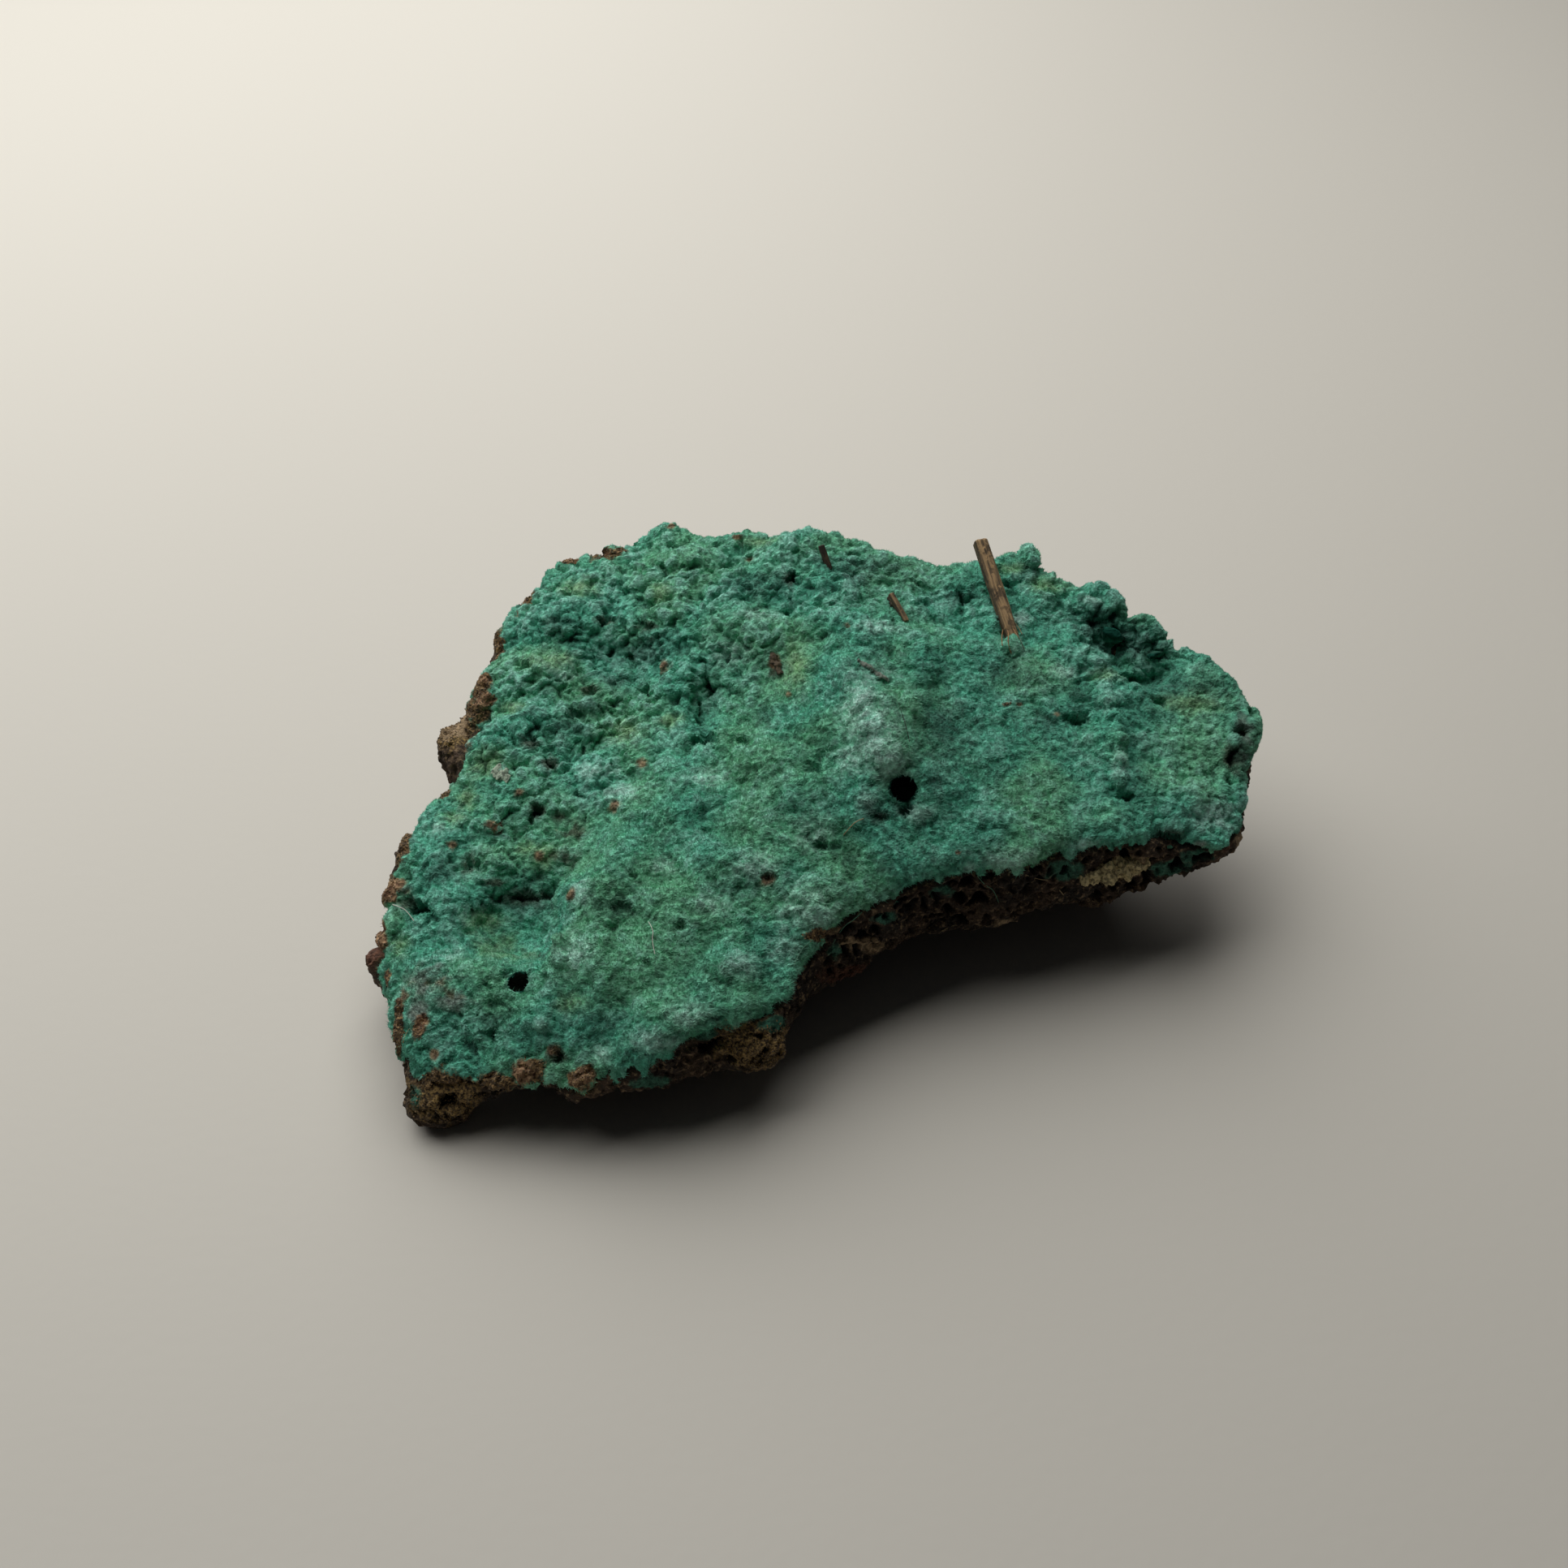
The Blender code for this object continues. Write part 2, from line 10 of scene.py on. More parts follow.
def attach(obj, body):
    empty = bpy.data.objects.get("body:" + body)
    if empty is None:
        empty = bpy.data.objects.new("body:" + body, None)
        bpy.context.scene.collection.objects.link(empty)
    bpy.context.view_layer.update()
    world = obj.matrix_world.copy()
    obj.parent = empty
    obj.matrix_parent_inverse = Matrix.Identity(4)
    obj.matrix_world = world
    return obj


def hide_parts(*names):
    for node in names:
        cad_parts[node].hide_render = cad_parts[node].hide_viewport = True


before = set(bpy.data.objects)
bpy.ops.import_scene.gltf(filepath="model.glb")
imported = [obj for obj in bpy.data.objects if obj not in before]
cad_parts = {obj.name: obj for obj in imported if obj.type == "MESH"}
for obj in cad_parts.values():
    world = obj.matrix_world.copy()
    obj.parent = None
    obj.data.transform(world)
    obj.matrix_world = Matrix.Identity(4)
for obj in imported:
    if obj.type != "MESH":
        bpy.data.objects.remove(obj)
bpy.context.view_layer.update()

# The view
# The specimen lies on a table, seen from the front and 42 degrees above it, with a lens of normal length.
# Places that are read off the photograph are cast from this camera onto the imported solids.
MM = 0.001
PHOTO_WIDTH = 1932
LENS, SENSOR = 50.0, 36.0
VIEW_ELEVATION = math.radians(42)
VIEW_DISTANCE = 140 * MM
VIEW_TARGET = Vector((-2.83, 1.22, 8.0)) * MM

camera_data = bpy.data.cameras.new("photo_camera")
camera_data.lens = LENS
camera_data.sensor_width = SENSOR
camera_data.clip_start = 0.005
camera = bpy.data.objects.new("photo_camera", camera_data)
camera.rotation_euler = (math.pi / 2 - VIEW_ELEVATION, 0, 0)
camera_turn = camera.rotation_euler.to_matrix()
camera.location = VIEW_TARGET + camera_turn @ Vector((0, 0, VIEW_DISTANCE))
bpy.context.scene.collection.objects.link(camera)
bpy.context.scene.camera = camera

crust_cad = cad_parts["brochantite_crust"]
matrix_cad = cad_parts["gossan_matrix"]


def surface_tree(*objects):
    """A search tree over the faces of some objects whose vertices are in world space."""
    corners, faces = [], []
    for obj in objects:
        start = len(corners)
        corners += [v.co.copy() for v in obj.data.vertices]
        faces += [[start + i for i in p.vertices] for p in obj.data.polygons]
    return BVHTree.FromPolygons(corners, faces)


seen_surface = surface_tree(crust_cad, matrix_cad)
VIEW_AXES = np.array(camera_turn)
# A pixel's width on the stone.
PIXEL = MM / 19.17


def seen_at(u, v, surface=seen_surface):
    """The point of the stone that shows at a pixel of the photograph, or the nearest inside the outline."""
    half = PHOTO_WIDTH / 2
    focal = PHOTO_WIDTH * LENS / SENSOR
    ray = (camera_turn @ Vector(((u - half) / focal, -(v - half) / focal, -1.0))).normalized()
    hit, _, _, _ = surface.ray_cast(camera.location, ray)
    if hit is None:
        steps = [camera.location + ray * VIEW_DISTANCE * share for share in np.linspace(0.75, 1.3, 45)]
        hit = min((surface.find_nearest(step) for step in steps), key=lambda found: found[3])[0]
    return np.array(hit)


# The table and the light
# A pale, smooth, faintly grained table top. A wide window-like light stands behind it on the left,
# so that the front of the stone is in its own shadow.
FLOOR_WIDTH = 3.0
FLOOR_COLOUR = (0.655, 0.632, 0.575, 1)
WINDOW_PLACE = Vector((-74, 118, 166)) * MM
WINDOW_SIZE = 330 * MM
WINDOW_POWER = 0.78
ROOM_STRENGTH = 0.016


def add_node(tree, kind, inputs=None, **settings):
    """Adds a node. Inputs are given by name or number, and one that is a socket is linked."""
    node = tree.nodes.new(kind)
    for name, value in settings.items():
        setattr(node, name, value)
    for name, value in (inputs or {}).items():
        if isinstance(name, int):
            socket = node.inputs[name]
        else:
            socket = next(s for s in node.inputs if s.name == name and s.enabled)
        if isinstance(value, bpy.types.NodeSocket):
            tree.links.new(value, socket)
        else:
            socket.default_value = value
    return node


def new_material(name, roughness):
    """A material with nodes. Returns it, its tree and its shader."""
    material = bpy.data.materials.new(name)
    material.use_nodes = True
    shader = material.node_tree.nodes["Principled BSDF"]
    shader.inputs["Roughness"].default_value = roughness
    return material, material.node_tree, shader


def add_bump(tree, shader, height, strength, distance):
    """Feeds a height into the shader's normal. Distance is in metres."""
    bump = add_node(tree, "ShaderNodeBump", {"Height": height, "Strength": strength, "Distance": distance})
    tree.links.new(bump.outputs["Normal"], shader.inputs["Normal"])


floor_material, tree, shader = new_material("table_top", 0.6)
shader.inputs["Base Color"].default_value = FLOOR_COLOUR
shader.inputs["Specular IOR Level"].default_value = 0.25
place = add_node(tree, "ShaderNodeTexCoord").outputs["Object"]
grain = add_node(tree, "ShaderNodeTexNoise", {"Vector": place, "Scale": 1400.0, "Detail": 0.0})
add_bump(tree, shader, grain.outputs[0], 0.12, 0.05 * MM)
bpy.ops.mesh.primitive_plane_add(size=FLOOR_WIDTH)
floor = bpy.context.object
floor.name = "table_top"
floor.data.materials.append(floor_material)

window_data = bpy.data.lights.new("window", "AREA")
window_data.size = WINDOW_SIZE
window_data.energy = WINDOW_POWER
window_data.color = (1.0, 0.985, 0.955)
window = bpy.data.objects.new("window", window_data)
window.location = WINDOW_PLACE
window.rotation_euler = (-WINDOW_PLACE).to_track_quat("-Z", "Y").to_euler()
window.visible_camera = False
bpy.context.scene.collection.objects.link(window)
bpy.context.scene.view_settings.view_transform = "Standard"

room = bpy.data.worlds.new("pale_room")
room.use_nodes = True
room.node_tree.nodes["Background"].inputs["Color"].default_value = (0.97, 0.98, 1.0, 1)
room.node_tree.nodes["Background"].inputs["Strength"].default_value = ROOM_STRENGTH
bpy.context.scene.world = room

# The crust's form
# Brochantite grew over the top as one skin of rounded nodules, with pits, a cleft and two holes through it.
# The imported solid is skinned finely, its pits are pressed in, and a node tree raises the nodules.
CRUST_HEALING_VOXEL = 0.42 * MM
CRUST_VOXEL = 0.12 * MM
CRUST_TRIANGLES = 196000
HIDDEN_LOSS = 0.9
LIP_WIDTH = 0.9 * MM
LIP_DROP = 1.15 * MM
LIP_SWELL = 0.25 * MM
BROAD_EDGE = 1.4
BROAD_HEART = 0.1

# Pits by pixel of the photograph: u, v, half width and half height in pixels, depth in millimetres.
PITS = [
    # The cleft left of the crest, and the hollow at its foot.
    (873, 846, 8, 18, 1.8), (862, 872, 7, 20, 1.5), (870, 909, 17, 10, 1.4), (918, 912, 8, 10, 0.8),
    # Broken ground at the rear left.
    (975, 714, 9, 12, 1.6), (817, 702, 9, 12, 1.1), (797, 745, 13, 7, 1.2), (772, 729, 12, 7, 0.9),
    (746, 764, 14, 7, 1.0), (793, 771, 16, 7, 1.1), (799, 788, 8, 8, 1.0), (842, 787, 8, 7, 0.7),
    (793, 853, 12, 9, 1.5), (759, 866, 9, 7, 1.2), (728, 849, 12, 7, 1.0), (704, 882, 11, 8, 1.2),
    (735, 824, 8, 6, 0.7), (652, 913, 14, 9, 0.8), (677, 942, 11, 7, 0.8), (968, 756, 7, 7, 0.8),
    (1050, 708, 12, 8, 0.8), (1188, 738, 12, 8, 0.7),
    # The cavity at the right and the vugs round it.
    (1348, 766, 15, 11, 1.7), (1369, 784, 18, 11, 1.9), (1400, 800, 15, 9, 1.8), (1428, 804, 16, 10, 1.9),
    (1329, 886, 20, 8, 1.5), (1433, 863, 6, 6, 0.8), (1389, 982, 11, 7, 1.1), (1454, 984, 7, 6, 0.8),
    (1521, 935, 9, 13, 1.5), (1531, 900, 9, 9, 1.0), (1544, 878, 6, 8, 0.9), (1517, 960, 9, 7, 1.0),
    (1440, 1031, 16, 9, 1.6), (1496, 1024, 9, 5, 0.9),
    # The front apron.
    (1003, 946, 12, 9, 0.9), (1083, 1006, 15, 10, 0.7), (1163, 1028, 3, 5, 0.6), (1171, 1034, 6, 3, 0.6),
    (1182, 1035, 6, 3, 0.6), (1191, 1042, 4, 5, 0.6), (1011, 1040, 8, 7, 0.8), (869, 1025, 8, 6, 0.7),
    (712, 980, 7, 6, 1.0), (766, 1116, 14, 8, 0.5), (839, 1139, 9, 7, 0.5), (946, 1080, 12, 8, 0.7),
    (798, 1188, 8, 8, 0.4), (606, 1276, 7, 9, 0.8), (687, 1303, 8, 8, 0.8),
    # The pit under the ledge, the gashes and vugs at the left.
    (672, 1102, 13, 10, 1.5), (648, 1106, 20, 9, 1.0), (618, 1108, 18, 9, 0.5), (684, 1088, 8, 8, 0.9),
    (661, 1000, 8, 12, 1.4), (653, 1012, 6, 5, 0.9), (574, 1064, 9, 14, 1.5), (585, 1069, 9, 8, 1.2),
    (512, 1118, 20, 9, 1.9), (500, 1110, 12, 7, 1.2),
]

# The large hole and the small one in the same units, how deep they are seen, and how dark that is as a pit:
# their shadow is painted black.
HOLES = [(1114, 972, 14, 13), (639, 1211, 10, 9)]
HOLE_DEPTH = 3.2 * MM
HOLE_SHADE = 3.0

# Small things that stand out, in the same units, with their height.
KNOBS = [
    (645, 1319, 14, 13, 0.45), (717, 1329, 13, 12, 0.45), (608, 1018, 10, 10, 0.5),
    (617, 953, 12, 9, 0.35), (667, 1262, 9, 9, 0.4), (1245, 800, 13, 9, 0.7), (812, 818, 12, 10, 0.4),
    (757, 684, 12, 9, 0.5), (1364, 866, 10, 10, 0.45), (1372, 886, 10, 10, 0.45),
    (1377, 912, 10, 10, 0.45), (1380, 938, 10, 10, 0.45), (1376, 962, 10, 9, 0.4),
    (1439, 943, 11, 9, 0.35), (1268, 690, 15, 12, 0.6), (1388, 831, 26, 8, 0.4),
    # The tan ledge in the low ground, and the stub of the ridge above it.
    (647, 1178, 10, 6, 0.45), (659, 1167, 11, 7, 0.6), (672, 1156, 11, 7, 0.55), (690, 1160, 9, 6, 0.4),
]

# Broad hollows and mounds of the ground, in the same units.
HOLLOWS = [
    (790, 805, 70, 42, 1.0), (868, 870, 22, 55, 0.9), (640, 1135, 62, 62, 1.0), (570, 1062, 26, 30, 0.6),
    (1378, 792, 46, 22, 1.2), (1330, 890, 34, 14, 0.7), (1440, 885, 54, 28, 0.6),
    (1165, 895, 40, 60, 0.8), (640, 925, 40, 30, 0.5), (1250, 720, 50, 22, 0.5), (690, 1020, 36, 30, 0.6),
]
MOUNDS = [
    # The crest down to the large hole, and the knoll beside it.
    (1010, 720, 34, 30, 0.6), (1045, 800, 28, 42, 0.8), (1074, 880, 26, 38, 1.1),
    (1094, 925, 22, 22, 0.7), (930, 770, 40, 30, 0.6),
    # The high side of the step at the left, and the dome in front of it.
    (748, 1110, 26, 42, 0.8), (738, 1185, 26, 42, 0.9), (728, 1245, 26, 30, 0.6),
    (545, 1215, 42, 36, 0.8), (560, 1020, 30, 20, 0.5),
    # The mounds round the cavity at the right.
    (1345, 738, 40, 16, 0.45), (1415, 766, 34, 14, 0.7), (1465, 790, 26, 12, 0.4),
    (1372, 905, 16, 54, 0.5), (1485, 985, 34, 24, 0.5),
    # Lumps at the rear left and on the apron.
    (690, 765, 30, 28, 0.6), (850, 690, 44, 22, 0.5), (720, 905, 30, 20, 0.5), (930, 1070, 40, 26, 0.5),
    (1000, 1120, 34, 28, 0.5), (830, 1250, 44, 24, 0.4),
]

# How lumpy the ground is here and there: u, v, reach in pixels, lumpiness.
LUMPINESS = [
    (700, 760, 110, 1.15), (850, 730, 90, 1.1), (760, 860, 90, 1.1), (980, 823, 30, 0.45),
    (1000, 700, 70, 1.1), (1080, 760, 60, 0.9), (1180, 740, 70, 0.9), (1180, 880, 90, 0.7),
    (1250, 820, 70, 0.6), (1380, 790, 60, 1.35), (1465, 870, 60, 0.5), (1370, 910, 50, 0.8),
    (1300, 980, 90, 0.65), (1470, 990, 50, 0.8), (1080, 900, 60, 0.75), (1060, 1040, 70, 0.6),
    (900, 960, 90, 0.72), (900, 1120, 100, 0.7), (780, 1080, 80, 0.62), (800, 1230, 90, 0.6),
    (610, 1150, 40, 0.4), (620, 1060, 60, 0.9), (540, 1060, 50, 0.8), (560, 1240, 70, 0.9),
    (690, 1270, 70, 0.7),
]

# How silky the crust is here and there: u, v, reach in pixels, and the share of a needle's full length.
SILKINESS = [
    (1080, 900, 90, 1.1), (1180, 960, 110, 0.95), (1000, 1040, 120, 0.95), (860, 1180, 110, 1.0),
    (760, 1250, 80, 0.9), (560, 1230, 70, 0.85), (720, 780, 160, 0.4), (620, 930, 90, 0.45),
    (900, 720, 120, 0.45), (1060, 740, 90, 0.5), (1200, 800, 90, 0.6), (1400, 780, 90, 0.4),
    (1470, 900, 80, 0.35), (1450, 1000, 80, 0.5), (620, 1100, 80, 0.5),
]


def tidy_copy(node):
    """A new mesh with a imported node's shape, with its loose triangles merged."""
    work = bmesh.new()
    work.from_mesh(node.data)
    bmesh.ops.remove_doubles(work, verts=work.verts, dist=0.002 * MM)
    mesh = bpy.data.meshes.new("copy_of_" + node.name)
    work.to_mesh(mesh)
    work.free()
    return mesh


def new_piece(name, mesh):
    piece = bpy.data.objects.new(name, mesh)
    bpy.context.scene.collection.objects.link(piece)
    return piece


def freeze(piece):
    """Turns what a piece's modifiers make into its own mesh."""
    graph = bpy.context.evaluated_depsgraph_get()
    mesh = bpy.data.meshes.new_from_object(piece.evaluated_get(graph))
    piece.modifiers.clear()
    piece.data = mesh
    return piece


def skin(piece, voxel, smoothing):
    """Gives a piece an even skin of small faces and smooths it."""
    remesh = piece.modifiers.new("skin", "REMESH")
    remesh.mode = "VOXEL"
    remesh.voxel_size = voxel
    relax = piece.modifiers.new("relax", "SMOOTH")
    relax.factor = 0.5
    relax.iterations = smoothing
    return freeze(piece)


def collapse(piece, share, group=""):
    """Collapses a piece's flattest faces until a share of them is left."""
    thinner = piece.modifiers.new("thin out", "DECIMATE")
    thinner.ratio = min(1.0, share)
    thinner.vertex_group = group
    thinner.use_collapse_triangulate = True
    return freeze(piece)


def thin_out(piece, triangles):
    """Brings a piece down to about so many triangles, first where it is hidden against its neighbour."""
    layer = read_layer(piece.data, "outer")
    hidden = np.flatnonzero(layer < 0.01)
    piece.vertex_groups.new(name="hidden").add(hidden.tolist(), 1.0, "REPLACE")
    collapse(piece, 1.0 - HIDDEN_LOSS * len(hidden) / len(layer), "hidden")
    piece.vertex_groups.clear()
    collapse(piece, triangles / sum(len(p.vertices) - 2 for p in piece.data.polygons))


def read(mesh, what):
    """A vector for each vertex, such as its place or its normal."""
    flat = np.empty(len(mesh.vertices) * 3, np.float32)
    mesh.vertices.foreach_get(what, flat)
    return flat.reshape(-1, 3).astype(float)


def read_layer(mesh, name):
    values = np.empty(len(mesh.vertices), np.float32)
    mesh.attributes[name].data.foreach_get("value", values)
    return values.astype(float)


def write(mesh, points):
    mesh.vertices.foreach_set("co", points.astype(np.float32).ravel())
    mesh.update()


def store(mesh, name, values):
    """Keeps one number a vertex as a named attribute."""
    layer = mesh.attributes.get(name) or mesh.attributes.new(name, "FLOAT", "POINT")
    layer.data.foreach_set("value", np.clip(values, -2.0, 2.0).astype(np.float32))


def smooth_step(low, high, value):
    share = np.clip((value - low) / (high - low), 0.0, 1.0)
    return share * share * (3.0 - 2.0 * share)


def reach_of(points, u, v, wide, high):
    """Distance of each point from what shows at a pixel, in shares of its half width and half height."""
    offset = (points - seen_at(u, v)) @ VIEW_AXES
    deep = 1.6 * max(wide, high)
    return np.linalg.norm(offset / (np.array((wide, high, deep)) * PIXEL), axis=1)


def raggedness(points, size):
    """A smooth random number from -1 to 1 at each point, with features of about a size in millimetres."""
    places = points / (size * MM)
    return np.array([noise.noise(place) for place in places.tolist()])


def press(points, normals, spots, inward, ragged, edge=1.15, heart=0.45):
    """Moves points in or out at the named spots, fully within the heart. Spots that overlap don't add up."""
    move = np.zeros(len(points))
    for u, v, wide, high, depth in spots:
        reach = reach_of(points, u, v, wide, high) + ragged
        move = np.maximum(move, depth * MM * smooth_step(edge, heart, reach))
    return points + normals * (-move if inward else move)[:, None], move / MM


def widen_hole(points, u, v, wide, high, ragged):
    """Moves the walls and rim of a hole aside, so that it shows open. Returns how far in each point lay."""
    rim = [(-2.2 * wide, 0), (2.2 * wide, 0), (0, -2.2 * high), (0, 2.2 * high)]
    mouth = np.mean([seen_at(u + right, v + down) for right, down in rim], axis=0)
    local = (points - mouth) @ VIEW_AXES
    sizes = np.array((wide, high)) * PIXEL
    share = np.linalg.norm(local[:, :2] / sizes, axis=1) + 1e-6
    near = smooth_step(HOLE_DEPTH, 0.7 * HOLE_DEPTH, np.abs(local[:, 2]))
    below = smooth_step(1.0 * MM, 0.5 * MM, local[:, 2])
    edge = 1.0 + 0.35 * ragged
    wider = (share ** 6 + edge ** 6) ** (1 / 6) / share
    local[:, :2] *= (1.0 + (wider - 1.0) * near)[:, None]
    return mouth + local @ VIEW_AXES.T, below * smooth_step(1.25, 1.05, share / edge)


def blend_of(points, places):
    """A value at each point, blended between those given at places of the photograph."""
    total = np.full(len(points), 1e-6)
    mixed = total * 0.7
    for u, v, reach, value in places:
        weight = np.exp(-reach_of(points, u, v, reach, reach) ** 2)
        total += weight
        mixed += weight * value
    return mixed / total


def distance_to(surface, points, far):
    """Distance from each point to a surface, up to a limit."""
    gaps = np.full(len(points), far)
    for i, point in enumerate(points):
        found = surface.find_nearest(point, far)
        if found[0] is not None:
            gaps[i] = found[3]
    return gaps


def tree_of(*values):
    """The node tree of the first socket among some values."""
    return next(value.id_data for value in values if isinstance(value, bpy.types.NodeSocket))


def calculate(operation, *values):
    """The result of a Math node on sockets and numbers."""
    inputs = dict(enumerate(values))
    return add_node(tree_of(*values), "ShaderNodeMath", inputs, operation=operation).outputs[0]


def plus(first, second):
    return calculate("ADD", first, second)


def minus(first, second):
    return calculate("SUBTRACT", first, second)


def times(first, second):
    return calculate("MULTIPLY", first, second)


def vector_plus(first, second):
    inputs = {0: first, 1: second}
    return add_node(tree_of(first, second), "ShaderNodeVectorMath", inputs, operation="ADD").outputs[0]


def scaled(vector, amount):
    inputs = {0: vector, "Scale": amount}
    return add_node(tree_of(vector), "ShaderNodeVectorMath", inputs, operation="SCALE").outputs[0]


def ramp_between(value, low, high):
    """0 below low, 1 above high, and smooth between them."""
    inputs = {"Value": value, "From Min": low, "From Max": high}
    node = add_node(tree_of(value), "ShaderNodeMapRange", inputs, interpolation_type="SMOOTHSTEP")
    return node.outputs["Result"]


def attribute_in(tree, name):
    node = add_node(tree, "GeometryNodeInputNamedAttribute", {"Name": name}, data_type="FLOAT")
    return node.outputs["Attribute"]


def shape_tree(name, sizes):
    """A geometry node tree with a mesh, a material and named sizes in. Returns it and its inputs."""
    tree = bpy.data.node_groups.new(name, "GeometryNodeTree")
    tree.interface.new_socket("Geometry", in_out="INPUT", socket_type="NodeSocketGeometry")
    tree.interface.new_socket("Geometry", in_out="OUTPUT", socket_type="NodeSocketGeometry")
    for label, value in sizes.items():
        socket = tree.interface.new_socket(label, in_out="INPUT", socket_type="NodeSocketFloat")
        socket.default_value = value
    tree.interface.new_socket("Material", in_out="INPUT", socket_type="NodeSocketMaterial")
    return tree, tree.nodes.new("NodeGroupInput").outputs


def place_in(tree):
    """The place of each point in millimetres."""
    return scaled(add_node(tree, "GeometryNodeInputPosition").outputs[0], 1.0 / MM)


def finish_tree(tree, given, geometry):
    """Ends a tree with Realize Instances and Set Material."""
    real = add_node(tree, "GeometryNodeRealizeInstances", {"Geometry": geometry}).outputs[0]
    dressed = add_node(tree, "GeometryNodeSetMaterial", {"Geometry": real, "Material": given["Material"]})
    add_node(tree, "NodeGroupOutput", {"Geometry": dressed.outputs[0]})


def finish_relief(tree, given, rise, level):
    """Ends a tree that lifts the surface by so many millimetres, and keeps a level of it as relief."""
    kept = add_node(
        tree,
        "GeometryNodeStoreNamedAttribute",
        {"Geometry": given["Geometry"], "Name": "relief", "Value": level},
        data_type="FLOAT",
        domain="POINT",
    )
    lift = scaled(add_node(tree, "GeometryNodeInputNormal").outputs[0], times(rise, MM))
    moved = add_node(tree, "GeometryNodeSetPosition", {"Geometry": kept.outputs[0], "Offset": lift})
    finish_tree(tree, given, moved.outputs[0])


def grow(piece, tree, material, **sizes):
    """Runs a tree on a piece with a material and sizes, and keeps the result as the piece's mesh."""
    modifier = piece.modifiers.new(tree.name, "NODES")
    modifier.node_group = tree
    given = dict(sizes, Material=material)
    for item in tree.interface.items_tree:
        if item.in_out == "INPUT" and item.name in given:
            modifier[item.identifier] = given[item.name]
    return freeze(piece)


def dome(vector, size, crown):
    """Height of a rounded nodule, from 0 in the groove between nodules to 1 on the crown."""
    inputs = {"Vector": vector, "Scale": calculate("DIVIDE", 1.0, size)}
    cells = add_node(tree_of(vector), "ShaderNodeTexVoronoi", inputs)
    share = calculate("DIVIDE", cells.outputs["Distance"], crown)
    return calculate("SQRT", calculate("MAXIMUM", minus(1.0, times(share, share)), 0.0))


def noise_of(vector, size, detail=2.0, output=0):
    """Noise about a size in millimetres, from a place in millimetres."""
    inputs = {"Vector": vector, "Scale": 1.0 / size, "Detail": detail}
    return add_node(tree_of(vector), "ShaderNodeTexNoise", inputs).outputs[output]


NODULE_SIZES = {
    "Clump Size": 2.5,
    "Clump Rise": 0.45,
    "Nodule Size": 1.0,
    "Nodule Rise": 0.44,
    "Bead Size": 0.53,
    "Bead Rise": 0.34,
    "Pocket Depth": 0.4,
}
nodule_tree, given = shape_tree("botryoidal_nodules", NODULE_SIZES)
place = place_in(nodule_tree)
shift = scaled(noise_of(place, 1.7, output="Color"), 1.5)
bent = vector_plus(place, shift)
large = dome(bent, given["Nodule Size"], 0.78)
small = dome(bent, given["Bead Size"], 0.8)
grain = noise_of(place, 0.33, detail=1.0)
stretch = noise_of(place, 2.8)
swing = ramp_between(stretch, 0.3, 0.7)
rise = times(minus(large, 0.6), given["Nodule Rise"])
rise = times(rise, plus(swing, 0.35))
beads = times(minus(small, 0.6), given["Bead Rise"])
rise = plus(rise, beads)
clump = dome(bent, given["Clump Size"], 0.85)
clump = times(minus(clump, 0.6), given["Clump Rise"])
rise = plus(rise, clump)
fine = times(minus(grain, 0.5), 0.22)
pockets = ramp_between(noise_of(bent, 1.1, detail=1.0), 0.6, 0.72)
broken = ramp_between(attribute_in(nodule_tree, "lumpy"), 0.45, 1.1)
sunk = times(times(pockets, broken), given["Pocket Depth"])
rise = minus(rise, sunk)
rise = times(rise, attribute_in(nodule_tree, "lumpy"))
rise = plus(rise, fine)
rise = times(rise, attribute_in(nodule_tree, "outer"))
open_ground = ramp_between(attribute_in(nodule_tree, "pit"), 1.6, 0.5)
rise = times(rise, open_ground)
finish_relief(nodule_tree, given, rise, plus(times(rise, 0.95), 0.5))

crust_material, crust_nodes, crust_shader = new_material("velvet_crust", 0.95)
crust = new_piece("crust", tidy_copy(crust_cad))
skin(crust, CRUST_HEALING_VOXEL, 3)
skin(crust, CRUST_VOXEL, 8)
points = read(crust.data, "co")
normals = read(crust.data, "normal")
gaps = distance_to(surface_tree(matrix_cad), points, 1.2 * MM)
outer = smooth_step(0.34 * MM, 0.52 * MM, gaps)
ragged = raggedness(points, 0.55) * 0.45
lip = smooth_step(LIP_WIDTH, LIP_WIDTH / 2, gaps) * smooth_step(0.6, 0.2, normals[:, 2])
draped = np.maximum(raggedness(points, 1.5) + 0.9 * raggedness(-points, 0.45) + 0.1, 0.0)
draped *= 0.25 + 0.75 * smooth_step(0.2, -0.5, normals[:, 1])
points += normals * (lip * draped * LIP_SWELL)[:, None]
points[:, 2] -= lip * draped * LIP_DROP
for spots, inward in ((HOLLOWS, True), (MOUNDS, False)):
    out = normals * outer[:, None]
    points, _ = press(points, out, spots, inward, ragged * 0.3, BROAD_EDGE, BROAD_HEART)
points, pit_depth = press(points, normals, PITS, True, ragged)
points, _ = press(points, normals, KNOBS, False, ragged * 0.5)
for hole in HOLES:
    points, inside = widen_hole(points, *hole, ragged)
    pit_depth = np.maximum(pit_depth, HOLE_SHADE * inside)
write(crust.data, points)
store(crust.data, "outer", outer)
store(crust.data, "lumpy", blend_of(points, LUMPINESS))
store(crust.data, "silky", blend_of(points, SILKINESS))
store(crust.data, "pit", pit_depth)
grow(crust, nodule_tree, crust_material)
thin_out(crust, CRUST_TRIANGLES)
